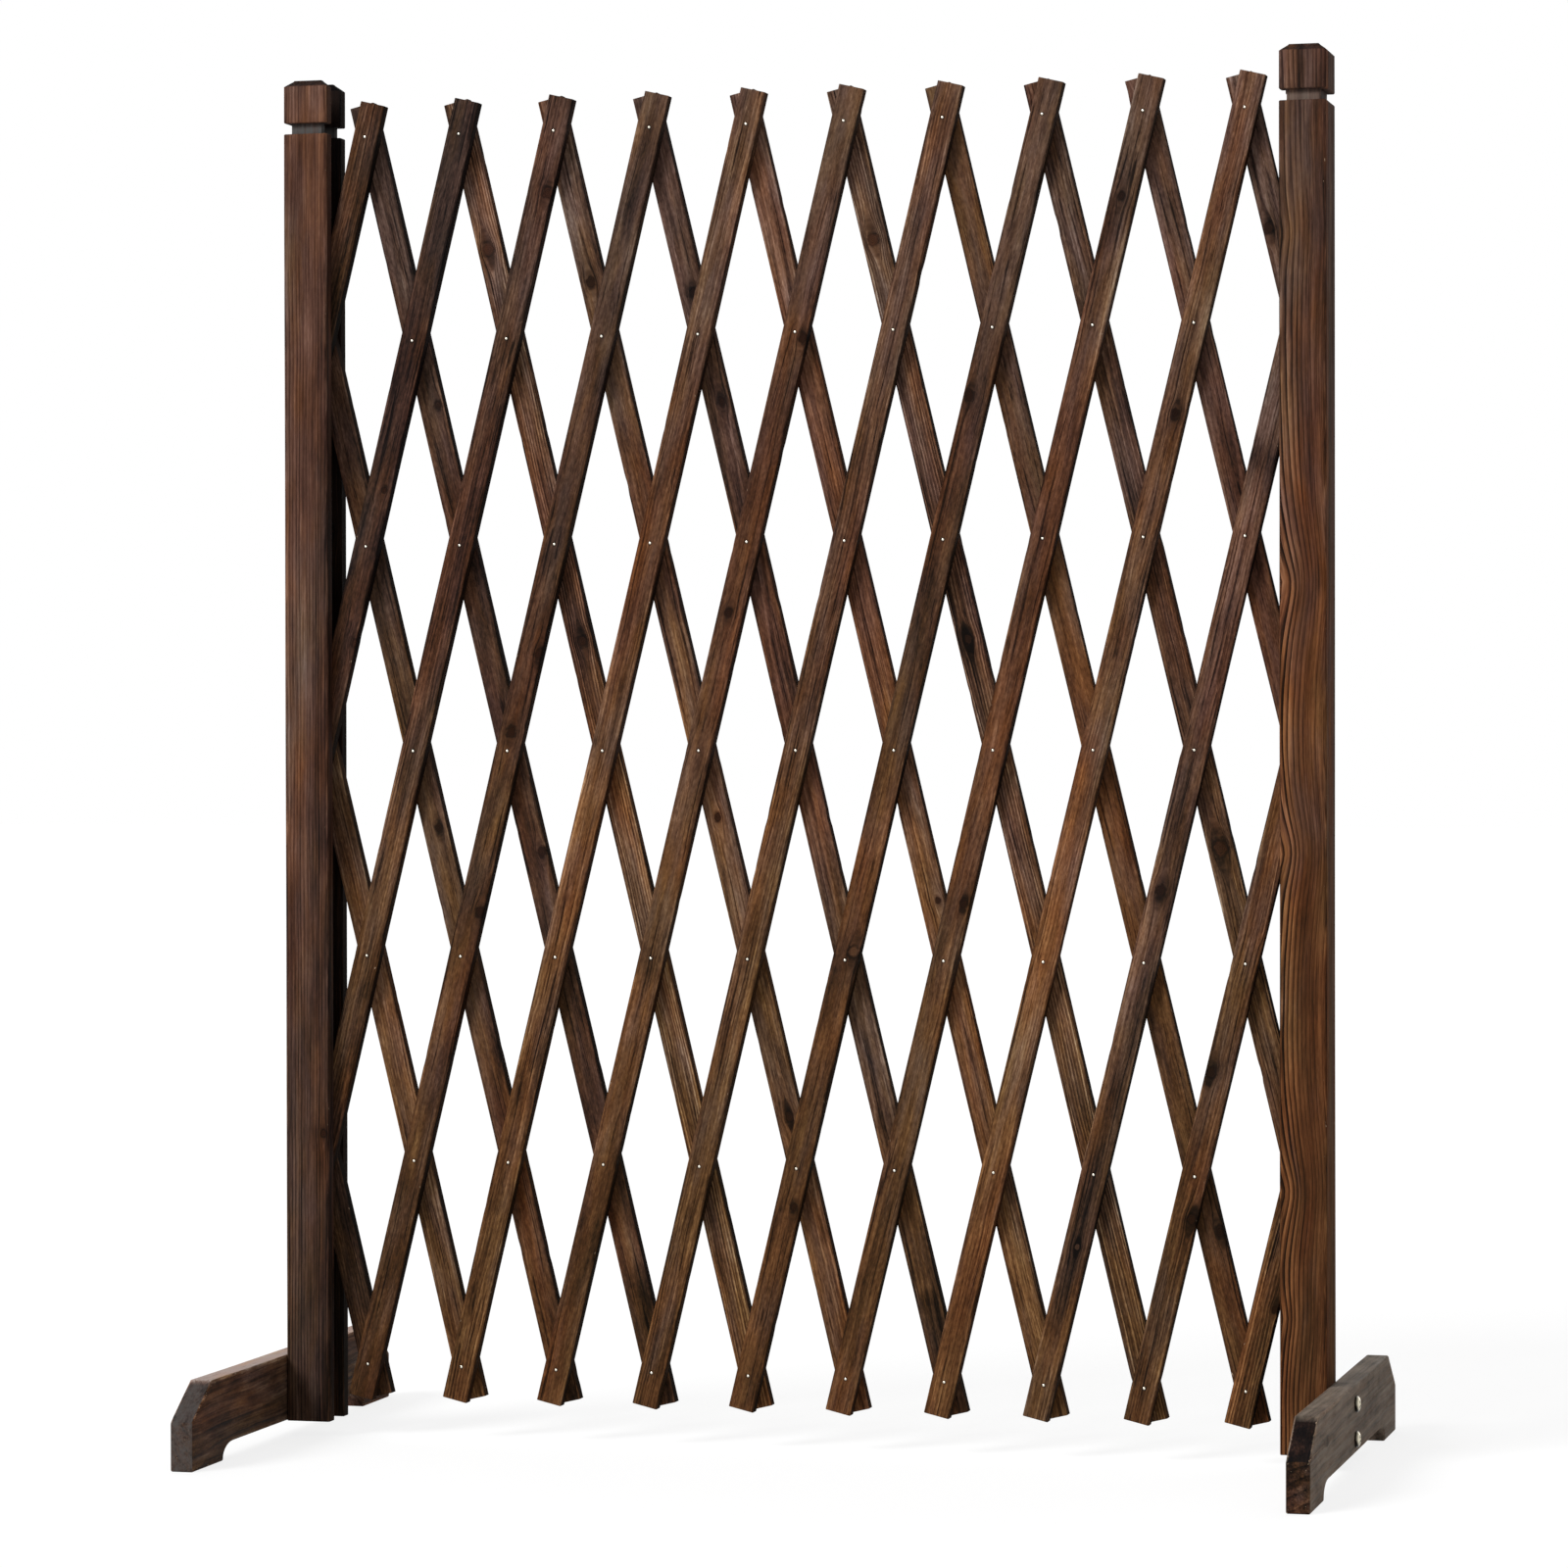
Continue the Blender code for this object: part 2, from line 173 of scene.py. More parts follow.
rear_patches = {
    1: [(6.5, 0, 0.6, 20, -0.05)],
    2: [(4.4, 0, 0.15, 20, -0.1), (5.6, 0, 0.7, 20, 0.05)],
    4: [(2.9, -5, 0.5, 4, 0.05), (5.4, 0, 0.3, 20, -0.13), (5.5, 9, 0.2, 3, 0.18),
        (6.42, 3, 0.09, 5, 0.16), (6.62, 5, 0.12, 6, -0.16)],
    5: [(1.8, 0, 0.08, 20, -0.08), (5.4, 9, 0.9, 3, 0.14), (3.5, 2, 0.16, 12, -0.12)],
    6: [(1.7, 0, 0.16, 12, -0.14), (3.8, 0, 0.6, 20, 0.08)],
    7: [(5.55, 8, 0.18, 4, 0.18), (6.6, 0, 0.3, 20, -0.09), (1.8, 0, 0.3, 20, -0.08),
        (6.55, -3, 0.03, 7, 0.15), (6.62, 2, 0.05, 8, -0.12)],
    8: [(6.6, 6, 0.5, 4, 0.1), (4.7, 0, 0.1, 20, -0.06)],
    9: [(3.5, 0, 0.2, 12, -0.16), (5.6, 9, 0.7, 3, 0.1)],
    10: [(3.4, 0, 0.8, 20, 0.06), (5.4, 0, 0.1, 20, -0.05)],
    11: [(1.1, -4, 0.2, 4, -0.18), (4.5, 0, 0.25, 20, -0.1), (6.2, 0, 0.8, 20, 0.05)],
    12: [(1.3, 6, 0.3, 10, -0.08)],
    13: [(1.5, -6, 0.2, 4, 0.1)],
}
# How slow and how fast the waves of a ripple can be, as shares of the pace that is asked for
ripple_paces = (0.6, 2.3)


def ripple(place, wave, seed, waves=7):
    """A smooth uneven line: a sum of sine waves of the place over the length of a wave, each with its
    own way, pace and start, drawn from the seed. It runs from about -1 to 1."""
    random = np.random.default_rng(seed)
    total = 0.0
    for pace in random.uniform(*ripple_paces, waves):
        start = random.uniform(0, 2 * math.pi)
        way = np.sign(random.normal())
        total = total + np.sin(way * pace * (place / wave) + start)
    return total / math.sqrt(waves)


# Angles of the points round an arris, shares of a face at which it has points, shares to which the
# flat rings on an end shrink, and the angle from which a crease stays sharp
corner_turns = np.array([0.0, 30.0, 60.0, 90.0])
lath_shares = np.array([0.06, 0.22, 0.41, 0.59, 0.78, 0.94])
cap_shares = np.array([0.7, 0.35])
bar_end_rings = len(corner_turns) - 1 + len(cap_shares)
crease_angle = 50


def section_rings(edges, easing, shares):
    """Rings of points round a rectangular section with eased corners, one ring for each station.

    edges holds, for each station, low and high across and low and high deep. Each corner is a
    quarter circle about a centre that lies one radius in from both edges, and straight sides with
    points at the given shares of their length join the quarters. The ring starts at the corner of
    high across and high deep and runs on to low across."""
    low_across, high_across, low_deep, high_deep = edges
    quarters = []
    for quarter, (side, face) in enumerate(((1, 1), (-1, 1), (-1, -1), (1, -1))):
        radius = easing[quarter][:, None]
        across = high_across[:, None] - radius if side > 0 else low_across[:, None] + radius
        deep = high_deep[:, None] - radius if face > 0 else low_deep[:, None] + radius
        turn = np.radians(90 * quarter + corner_turns)
        quarters.append(np.stack([across + radius * np.cos(turn), deep + radius * np.sin(turn)], axis=-1))
    ring = []
    for quarter, following in zip(quarters, quarters[1:] + quarters[:1]):
        start, end = quarter[:, -1:], following[:, :1]
        ring += [quarter, start + (end - start) * shares[:, None]]
    return np.concatenate(ring, axis=1)


def bar_points(along, edges, easing, end_easing, shares=lath_shares):
    """Points of a bar as across, deep and along: section rings at each station of along, whose ends
    are turned in by a quarter circle of end_easing and closed by flat rings that shrink inwards."""
    turn = np.radians(corner_turns[::-1])
    back, inset = end_easing * (1 - np.sin(turn)), end_easing * (1 - np.cos(turn))
    inset = np.concatenate([inset, np.zeros(len(along) - 2), inset[::-1]])
    along = np.concatenate([along[0] + back, along[1:-1], along[-1] - back[::-1]])

    def with_ends(line):
        return np.concatenate([np.repeat(line[:1], len(turn)), line[1:-1], np.repeat(line[-1:], len(turn))])

    spread = [with_ends(edge) + way * inset for edge, way in zip(edges, (1, -1, 1, -1))]
    radii = [np.maximum(with_ends(radius) - inset, end_easing / 4) for radius in easing]
    ring = section_rings(spread, radii, shares)
    points = np.concatenate([ring, np.broadcast_to(along[:, None, None], ring.shape[:2] + (1,))], axis=2)
    lids = []
    for lid in (points[0], points[-1]):
        centre = (lid.min(axis=0) + lid.max(axis=0)) / 2
        lids.append(centre + (lid - centre) * cap_shares[:, None, None])
    return np.concatenate([lids[0][::-1], points, lids[1]])


def vectors(*parts):
    """Three numbers or arrays of them as one array of vectors."""
    return np.stack(np.broadcast_arrays(*parts), axis=-1)


def wear_marks(points):
    """For each point of a bar: whether it is on an arris, on a narrow side and on an end."""
    corners = len(corner_turns)
    sides = points.shape[1] // 4 - corners
    arris = np.tile(np.r_[np.ones(corners), np.zeros(sides)], 4)
    narrow = np.r_[1, np.zeros(corners + sides - 1), np.zeros(corners - 1), 1, np.ones(sides)]
    end = np.zeros(len(points))
    reach = len(cap_shares) + 2
    end[:reach] = end[-reach:] = 1
    return vectors(arris[None, :], np.tile(narrow, 2)[None, :], end[:, None])


def placed(name, data):
    """An object of the scene that holds the data."""
    item = bpy.data.objects.new(name, data)
    bpy.context.scene.collection.objects.link(item)
    return item


def skin(name, shells, material):
    """A mesh of one or more closed shells, each made of rings of points: quads join each ring to the
    next, and a fan to a pole in the middle closes the first ring and the last. Each shell is its
    points and its marks, which are vectors for the shader to read."""

    def with_poles(values):
        return np.concatenate([values.reshape(-1, 3), values[[0, -1]].mean(axis=1)])

    places, faces = [], []
    for points, _ in shells:
        count, around = points.shape[:2]
        index = sum(len(place) for place in places) + np.arange(count * around + 2)
        ring = index[:-2].reshape(count, around)
        following = np.roll(ring, -1, axis=1)
        quads = np.stack([ring[:-1], following[:-1], following[1:], ring[1:]], axis=-1)
        faces += quads.reshape(-1, 4).tolist()
        faces += np.stack([following[0], ring[0], np.full(around, index[-2])], axis=-1).tolist()
        faces += np.stack([ring[-1], following[-1], np.full(around, index[-1])], axis=-1).tolist()
        places.append(with_poles(points))
    mesh = bpy.data.meshes.new(name)
    mesh.from_pydata(np.concatenate(places).tolist(), [], faces)
    for mark in shells[0][1]:
        values = [with_poles(np.broadcast_to(marks[mark], points.shape)) for points, marks in shells]
        layer = mesh.attributes.new(mark, "FLOAT_VECTOR", "POINT")
        layer.data.foreach_set("vector", np.concatenate(values).ravel().astype(np.float32))
    mesh.shade_smooth()
    mesh.set_sharp_from_angle(angle=math.radians(crease_angle))
    mesh.materials.append(material)
    return placed(name, mesh)


def nearest_knot(across, along, knots):
    """For each point, how far it lies across from the knot that is nearest along the piece, how far
    along, and that knot's radius. knots are (along, across, radius)."""
    places = np.array([no_knot] + list(knots), float)
    place = places[np.argmin(np.abs(along[..., None] - places[:, 0]), axis=-1)]
    return vectors(across - place[..., 1], np.abs(along - place[..., 0]), place[..., 2])


def new_material(name):
    """A new material, its node tree and its main shader."""
    material = bpy.data.materials.new(name)
    material.use_nodes = True
    return material, material.node_tree, material.node_tree.nodes["Principled BSDF"]


def step(tree, kind, *inputs, out=0, **settings):
    """Adds a shader node, fills its inputs in order with numbers or other nodes' outputs, and
    returns one of its outputs."""
    node = tree.nodes.new("ShaderNode" + kind)
    for setting, value in settings.items():
        setattr(node, setting, value)
    for socket, value in zip(node.inputs, inputs):
        if isinstance(value, bpy.types.NodeSocket):
            tree.links.new(value, socket)
        elif value is not None:
            socket.default_value = value
    return node.outputs[out]


def split(tree, vector):
    """The three parts of a vector."""
    node = tree.nodes.new("ShaderNodeSeparateXYZ")
    tree.links.new(vector, node.inputs[0])
    return tuple(node.outputs)


def ramp(tree, value, stops):
    """A colour ramp; stops are (position, grey or colour)."""
    colour = step(tree, "ValToRGB", value)
    elements = colour.node.color_ramp.elements
    for _ in stops[2:]:
        elements.new(1.0)
    for element, (position, shade) in zip(elements, stops):
        element.position = position
        element.color = (shade, shade, shade, 1) if isinstance(shade, (int, float)) else (*shade, 1)
    return colour


# Noises in the wood: paces across and along, and detail. Spots also have the two values of the
# noise between which they come up. Then how rough the noises are, and how far off in the grain a
# second set of them is read.
wood_noises = {
    "wander": (30.0, 6.0, 2.0),
    "year": (170.0, 0.0, 1.0),
    "knot": (260.0, 200.0, 3.0),
    "hue": (70.0, 12.0, 4.0),
    "redness": (24.0, 5.0, 4.0),
    "chip": (700.0, 150.0, 2.0),
    "soot": (60.0, 12.0, 3.0, 0.54, 0.72),
    "crack": (460.0, 3.0, 2.0, 0.57, 0.68),
    "stripe": (170.0, 5.0, 2.0, 0.60, 0.78),
    "worn": (300.0, 25.0, 3.0, 0.44, 0.66),
}
noise_roughness = 0.55
second_grain = (0.71, 0.33, 0.57)
# Years: how unevenly wide they are, how strong the late wood is at least and how much more it can
# be, and its mean; and how strong the pale stripes are beside the soot
year_unevenness = 0.9
late_least = 0.35
late_more = 0.75
late_mean = 0.22
stripe_share = 0.6
# Knots, in radii: how far along they push the year lines aside, where the disc, the rim and the
# stain end, how rough these are, and how much the way along counts beside the way across
knot_push = 2.6
disc_squash = 0.78
disc_roughness = (1.5, 0.25)
disc_edge = (0.66, 1.05)
rim_place = 0.98
rim_width = 0.42
stain_squash = 0.42
stain_roughness = 2.5
stain_edge = (0.7, 1.9)
# Radii between which a knot is dead or live, the tone of a dead one, what is added for a live and a
# pale one, and their rings
live_radius = (0.0042, 0.0050)
dead_tone = 0.17
live_change = 0.16
pale_change = 0.24
knot_ring_pace = 5200.0
knot_ring_change = 0.05
knot_smudge = 0.5
# What each mark adds to the tone, and where the painted shadow round a rivet ends
tone_changes = {
    "stain": -0.13,
    "rim": -0.11,
    "worn": 0.22,
    "arris": -0.09,
    # Narrow sides: burnt char and painted shade
    "narrow": -0.28,
    "end": -0.10,
    # seat: the painted shadow round each rivet head
    "seat": -0.14,
}
rivet_shadow_edge = (0.0014, 0.0026)
# Colours by tone, tints by warmth and by redness, a knot's tint and the bare wood of a chip. Then how
# strongly noises and rust red change the tints, and how softly a chip ends
char_colours = [
    (0.0, (0.0042, 0.0028, 0.0022)),
    (0.22, (0.0155, 0.0084, 0.0054)),
    (0.42, (0.0540, 0.0255, 0.0145)),
    (0.60, (0.1150, 0.0580, 0.0330)),
    (0.80, (0.2300, 0.1320, 0.0800)),
    (1.0, (0.4300, 0.3000, 0.2000)),
]
warm_tints = [(0.0, (0.88, 1.0, 1.34)), (0.5, (1.0, 1.0, 1.0)), (1.0, (1.11, 0.955, 0.63))]
red_tints = [(0.0, (0.94, 1.05, 1.06)), (0.4, (1.0, 1.0, 1.0)), (1.0, (1.05, 0.85, 0.77))]
knot_tint = (1.12, 0.92, 0.84, 1)
no_tint = (1.0, 1.0, 1.0, 1)
bare_wood = (0.38, 0.27, 0.18, 1)
hue_strength = 2.2
redness_mean = 0.4
redness_strength = 3.4
rust_strength = 0.6
chip_fade = 0.06
# How strongly the smudges and the finer fields of the wood break up the dust
dust_gains = {"smudge": 1.4, "fleck": 0.6, "streak": 1.4, "band": 2.4}
# Gloss, and relief: what the fibres, narrow sides, late wood, knots and chips add
wood_roughness = {"plain": 0.70, "fibre": 0.4, "narrow": 0.70, "late": -0.10}
wood_gloss = 0.03
wood_relief = {"fibre": 0.7, "knot": -0.3, "chip": -0.6}
bump_strength = 0.9
bump_height = 0.0003


def charred_softwood(
    name, year_width, line, fields, wander, soot, cracks, chipped=0.73, tint=(1, 1, 1), dust=None
):
    """Scorched and brushed softwood. Years are the whole parts of the distance from the heart over
    year_width, and line is the profile of each as a ramp; knots push their lines aside. fields are
    noises that lighten and darken the wood, each its paces across and along, its detail, its
    strength and how much more of it a board has that is sawn flat. Spots of soot, cracks and pale
    stripes, dark knots with rings and a stain, worn arrises, chips, places redder than the rest,
    painted shade on the narrow sides beside their burning, a painted shadow round each rivet, and
    dust are laid over them; on one foot the dust is lightened as painted light on a shaded side. It
    reads the piece's own marks: grain, knot, wear, board, seat, which places the painted shadow
    round a rivet and tells how flat-sawn the board is, and cover, which is the share of dust and of
    rust red."""
    material, tree, shader = new_material(name)
    noises = {**wood_noises, **fields}

    def calc(operation, *inputs, clamp=False):
        return step(tree, "Math", *inputs, operation=operation, use_clamp=clamp)

    def times(first, second):
        return calc("MULTIPLY", first, second)

    def add(change, strength, value):
        return calc("MULTIPLY_ADD", change, strength, value)

    def rest(share):
        return calc("SUBTRACT", 1.0, share)

    def length(first, second):
        place = step(tree, "CombineXYZ", first, second, 0.0)
        return step(tree, "VectorMath", place, operation="LENGTH", out=1)

    def mark(word):
        return split(tree, step(tree, "Attribute", out=1, attribute_name=word))

    def noise(vector, kind):
        across, along, detail = noises[kind][:3]
        stretched = step(tree, "VectorMath", vector, (across, across, along), operation="MULTIPLY")
        return step(tree, "TexNoise", stretched, None, 1.0, detail, noise_roughness)

    def waver(vector, kind):
        return calc("SUBTRACT", noise(vector, kind), 0.5)

    def fade(value, low, high):
        return step(tree, "MapRange", value, low, high, 0.0, 1.0, interpolation_type="SMOOTHSTEP")

    def spots(vector, kind):
        return fade(noise(vector, kind), *noises[kind][3:])

    def tinted(colour, tint):
        return step(tree, "MixRGB", 1.0, colour, tint, blend_type="MULTIPLY")

    across, deep, along = mark("grain")
    arris, narrow, end = mark("wear")
    tone, warmth, ridge = mark("board")
    knot_across, knot_along, knot_size = mark("knot")
    seat_across, seat_along, flat = mark("seat")
    dusty, rusty, _ = mark("cover")

    # The knot pushes the lines aside: a line that would pass within its radius runs round it
    radius = calc("ABSOLUTE", knot_size)
    reach = calc("DIVIDE", knot_along, times(radius, knot_push))
    push = calc("EXPONENT", times(times(reach, reach), -1.0))
    pushed = times(times(radius, radius), push)
    outside = calc("MAXIMUM", calc("SUBTRACT", times(knot_across, knot_across), pushed), 0.0)
    flowed = times(calc("SQRT", outside), calc("SIGN", knot_across))
    grain = step(tree, "CombineXYZ", across, deep, along)
    shifted = step(tree, "VectorMath", grain, second_grain)
    across = calc("ADD", across, calc("SUBTRACT", flowed, knot_across))
    across = add(waver(grain, "wander"), wander, across)
    deep = add(waver(shifted, "wander"), wander, deep)
    flow = step(tree, "CombineXYZ", across, deep, along)

    # Year lines, then the fields and the spots along them
    distance = length(across, deep)
    uneven = noise(step(tree, "CombineXYZ", distance, 0.0, 0.0), "year")
    year = add(uneven, year_unevenness, calc("DIVIDE", distance, year_width))
    strong = step(tree, "TexWhiteNoise", None, calc("FLOOR", year), noise_dimensions="1D")
    late = times(ramp(tree, calc("FRACT", year), line), add(strong, late_more, late_least))
    value = add(ridge, calc("SUBTRACT", late, late_mean), tone)
    made = {}
    for field, (*_, strength, gain) in fields.items():
        made[field] = waver(flow, field)
        value = add(made[field], add(flat, gain * strength, strength), value)
    for kind, change in (("soot", -soot), ("crack", -cracks), ("stripe", stripe_share * soot)):
        value = add(spots(flow, kind), change, value)

    # Knots: a dark rim, fine rings inside it, and a darker stain around
    knot_rough = add(noise(grain, "knot"), *disc_roughness)
    knot_range = times(length(knot_across, times(knot_along, disc_squash)), knot_rough)
    knot_share = calc("DIVIDE", knot_range, radius)
    disc = rest(fade(knot_share, *disc_edge))
    rim = rest(fade(calc("ABSOLUTE", calc("SUBTRACT", knot_share, rim_place)), 0.0, rim_width))
    stain_share = calc("DIVIDE", length(knot_across, times(knot_along, stain_squash)), radius)
    stain = rest(fade(add(made["smudge"], stain_roughness, stain_share), *stain_edge))
    pale = calc("LESS_THAN", knot_size, 0.0)
    knot_tone = add(fade(radius, *live_radius), live_change, add(pale, pale_change, dead_tone))
    knot_tone = add(calc("SINE", times(knot_range, knot_ring_pace)), knot_ring_change, knot_tone)
    knot_tone = add(made["smudge"], knot_smudge, knot_tone)
    value = add(stain, tone_changes["stain"], value)
    value = step(tree, "Mix", disc, None, value, knot_tone)
    value = add(rim, tone_changes["rim"], value)

    # Wear: arrises are burnt but worn light in places, narrow sides and ends are burnt darkest, and
    # narrow sides also carry painted shade
    worn = times(arris, spots(grain, "worn"))
    # A painted shadow round each rivet head
    seat = rest(fade(length(seat_across, seat_along), *rivet_shadow_edge))
    for kind, share in (("worn", worn), ("arris", arris), ("narrow", narrow), ("end", end), ("seat", seat)):
        value = add(share, tone_changes[kind], value)

    hue = add(waver(shifted, "hue"), hue_strength, warmth)
    redness = add(waver(shifted, "redness"), redness_strength, redness_mean)
    redness = add(rusty, rust_strength, redness)
    colour = tinted(ramp(tree, value, char_colours), ramp(tree, hue, warm_tints))
    colour = tinted(colour, ramp(tree, redness, red_tints))
    red_knot = tinted(colour, step(tree, "MixRGB", pale, knot_tint, no_tint))
    colour = step(tree, "MixRGB", disc, colour, red_knot)
    chips = times(arris, fade(noise(grain, "chip"), chipped, chipped + chip_fade))
    colour = tinted(step(tree, "MixRGB", chips, colour, bare_wood), (*tint, 1))
    if dust:
        settled = 1.0
        for field, gain in dust_gains.items():
            settled = add(made[field], gain, settled)
        dusty = calc("MULTIPLY", dusty, settled, clamp=True)
        colour = step(tree, "MixRGB", dusty, colour, (*dust, 1))
    tree.links.new(colour, shader.inputs["Base Color"])

    rough = add(made["fibre"], wood_roughness["fibre"], wood_roughness["plain"])
    rough = add(narrow, wood_roughness["narrow"], rough)
    rough = calc("MULTIPLY_ADD", late, wood_roughness["late"], rough, clamp=True)
    tree.links.new(rough, shader.inputs["Roughness"])
    shader.inputs["Specular IOR Level"].default_value = wood_gloss
    relief = add(made["fibre"], wood_relief["fibre"], times(late, calc("ABSOLUTE", ridge)))
    relief = add(chips, wood_relief["chip"], add(disc, wood_relief["knot"], relief))
    bump = step(tree, "Bump", bump_strength, bump_height, None, relief)
    tree.links.new(bump, shader.inputs["Normal"])
    return material


def lath_nodes(number, lean):
    """The column and row of each node on a lath, from the top; lean is 1 in front and -1 behind."""
    top = number if lean > 0 else number - (rows - 1) / 2
    nodes = [(top - lean * (row - 1) / 2, row) for row in range(1, rows + 1)]
    first, last = post_columns
    return [node for node in nodes if first <= node[0] <= last]


def node_point(column, row):
    """The place of a node, in the plane between the two layers of laths."""
    across = (column - middle_column) * column_pitch
    return Vector((across, 0, middle_height + (middle_row - row) * row_pitch))


def patched(tone, across, along, patches):
    """The tone with smudges, worn places and painted highlights added, each a bell curve along
    and across.
    """
    for at, side, reach_along, reach_across, change in patches:
        away = ((along - at) / reach_along) ** 2 + ((across - side) / reach_across) ** 2
        tone = tone + change * np.exp(-away)
    return tone


def make_lath(name, number, lean, board, knots, patches, material):
    """A lath along its nodes. Its edges bend and wander by sine waves and are nicked where a finer
    set of waves runs high; its inner face stays flat, because the other layer passes close by. Its
    tone is that of its board with its patches and the shade of each row, its warmth rises evenly
    from row to row, and rust red is a bell curve over the rows."""
    random = np.random.default_rng(number * 2 + (lean > 0))
    nodes = lath_nodes(number, lean)
    upper, lower = node_point(*nodes[0]), node_point(*nodes[-1])
    up = (upper - lower).normalized()
    sideways = Vector((up.z, 0, -up.x))
    in_post = [node[0] in post_columns for node in (nodes[0], nodes[-1])]
    start = -(lath_end_in_post if in_post[1] else lath_end)
    stop = (upper - lower).length + (lath_end_in_post if in_post[0] else lath_end)
    knot_places = [((nodes[-1][1] - at) * node_spacing, place * mm, size * mm) for at, place, size in knots]
    station = np.linspace(start, stop, int((stop - start) / lath_ring_step))
    station = np.sort(np.append(station, [knot[0] for knot in knot_places]))
    bow = lath_bow * ripple(station, lath_bow_wave, number * 4 + lean, waves=3)
    edges = []
    for side in (-1, 1):
        nick = np.clip(ripple(station, lath_nick_wave, number * 8 + lean + side, waves=9) - nick_level, 0, 1)
        wander = lath_wander * ripple(station, lath_wander_wave, number * 16 + lean + side)
        edges.append(side * (lath_width / 2 - lath_nick * nick) + bow + wander)
    inner_face, outer_face = (corner.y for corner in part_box("rear_lath_01"))
    flat = np.zeros(len(station))
    hollow = lath_hollow * ripple(station, lath_hollow_wave, number * 32 + lean)
    faces = [hollow - outer_face, flat - inner_face] if lean > 0 else [flat + inner_face, hollow + outer_face]
    rounded, slight = flat + lath_arris, flat + lath_inner_arris
    easing = [slight, slight, rounded, rounded] if lean > 0 else [rounded, rounded, slight, slight]
    points = bar_points(station, edges + faces, easing, lath_sawn_edge)

    across, deep, along = points[..., 0], points[..., 1], points[..., 2]
    tone, warmth, ridge, saw_angle = board
    saw_turn = math.radians(saw_angle)
    heart = random.uniform(*heart_distance)
    side = random.choice([-1, 1])
    heart_across = side * heart * math.cos(saw_turn) + random.uniform(-1, 1) * heart_lean[0] * along
    heart_deep = heart * math.sin(saw_turn) + side * heart_lean[1] * along
    grain_along = along + number * grain_step[0] + lean * grain_step[1]
    row = nodes[-1][1] - along / node_spacing
    tone = patched(tone, across / mm, row, patches) + np.interp(row, lath_shade_rows, lath_shade)
    least_rust, most_rust, rust_row, rust_reach = lath_rust
    rust = least_rust + (most_rust - least_rust) * np.exp(-(((row - rust_row) / rust_reach) ** 2))
    warmth = warmth + lath_warmth_fall * (row - middle_row) / middle_row
    # How far along from the nearest rivet, to place the painted shadow round it
    from_node = np.sin(math.pi * along / node_spacing) * node_spacing / math.pi
    marks = {
        "grain": vectors(across - heart_across, deep - heart_deep, grain_along),
        "knot": nearest_knot(across, along, knot_places),
        "wear": wear_marks(points),
        "board": vectors(tone, warmth, ridge),
        "seat": vectors(across, from_node, math.sin(saw_turn)),
        "cover": vectors(0.0, rust, 0.0),
    }
    place = np.array(lower) + across[..., None] * np.array(sideways) + along[..., None] * np.array(up)
    place[..., 1] += deep
    return skin(name, [(place, marks)], material)


# The usual width of a year, the profile of a year on the laths, and the fields of their wood
usual_year = 0.0025
soft_line = [(0.0, 0.0), (0.30, 0.12), (0.62, 0.60), (0.85, 1.0), (1.0, 0.0)]
lath_fields = {
    "fibre": (1300.0, 40.0, 3.0, 0.42, -0.4),
    "fleck": (700.0, 200.0, 3.0, 0.46, 0.0),
    "streak": (420.0, 10.0, 3.0, 0.56, -0.5),
    "band": (150.0, 5.0, 2.0, 0.24, -0.3),
    "smudge": (90.0, 18.0, 4.0, 0.34, 0.4),
}
lath_wood = {
    layer: charred_softwood(
        f"{layer}_lath_wood", usual_year, soft_line, lath_fields, wander=0.008, soot=soot, cracks=0.24
    )
    for layer, soot in (("front", 0.10), ("rear", 0.12))
}
for number in range(1, lath_count + 1):
    for layer, lean, boards, knots, patches in (
        ("front", 1, front_boards, front_knots, front_patches),
        ("rear", -1, rear_boards, rear_knots, rear_patches),
    ):
        node = f"{layer}_lath_{number:02d}"
        looks = boards[number], knots.get(number, []), patches.get(number, [])
        lath = make_lath(f"{node}_wood", number, lean, *looks, lath_wood[layer])
        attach(lath, node)
        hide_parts(node)

# Rivets
# Small solid brass rivets through each crossing, with a low domed head in front and an end
# that is peened over behind. They are set in the front lath, and the rear one turns on them.
rivet_radius = 0.0012
rivet_head_radius = 0.0013
rivet_head_rise = 0.0004
rivet_sides = 14
rivet_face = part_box("rear_lath_01")[1].y
# Painted shade on the edge of a rivet's head, a dark ring where it meets the lath: the share of its
# radius where it starts, the share over which it grows, and its most
rivet_shade = (0.46, 0.35, 0.9)
dome_turns = np.array([85.0, 60.0, 30.0, 0.0])


def turned(centre, axis, profile, sides, painted_shade=0.0):
    """A turned shell: the profile's points (along, radius) carried round the axis, which closes on
    itself, with a pole on the axis at both ends. The last argument is how much painted shade it
    has at each point."""
    axis = np.array(axis, float)
    first = np.cross(axis, (0, 0, 1) if abs(axis[2]) < 0.9 else (1, 0, 0))
    first /= np.linalg.norm(first)
    second = np.cross(axis, first)
    turn = np.arange(sides) * 2 * math.pi / sides
    along, radius = np.array(profile, float).T
    spoke = np.cos(turn)[:, None] * first + np.sin(turn)[:, None] * second
    points = np.array(centre) + along[:, None, None] * axis + radius[:, None, None] * spoke
    return points, {"painted_shade": np.zeros_like(points) + np.reshape(painted_shade, (-1, 1, 1))}


# Plated metal: the paces of its clouds and its scuffs, the values of the clouds between which it
# tarnishes and how much, and how much darker and duller the tarnish is
metal_cloud, metal_scuffs = (420.0, 3.0, 0.6), (2600.0, 2.0, 0.6)
tarnish_edge = (0.46, 0.76)
tarnish_most = 0.7
tarnish_darkness = 0.6
tarnish_dullness = 0.25
# The colour of painted shade on metal
shade_colour = (0.012, 0.010, 0.008, 1)
metal_bump = (0.35, 0.0001)


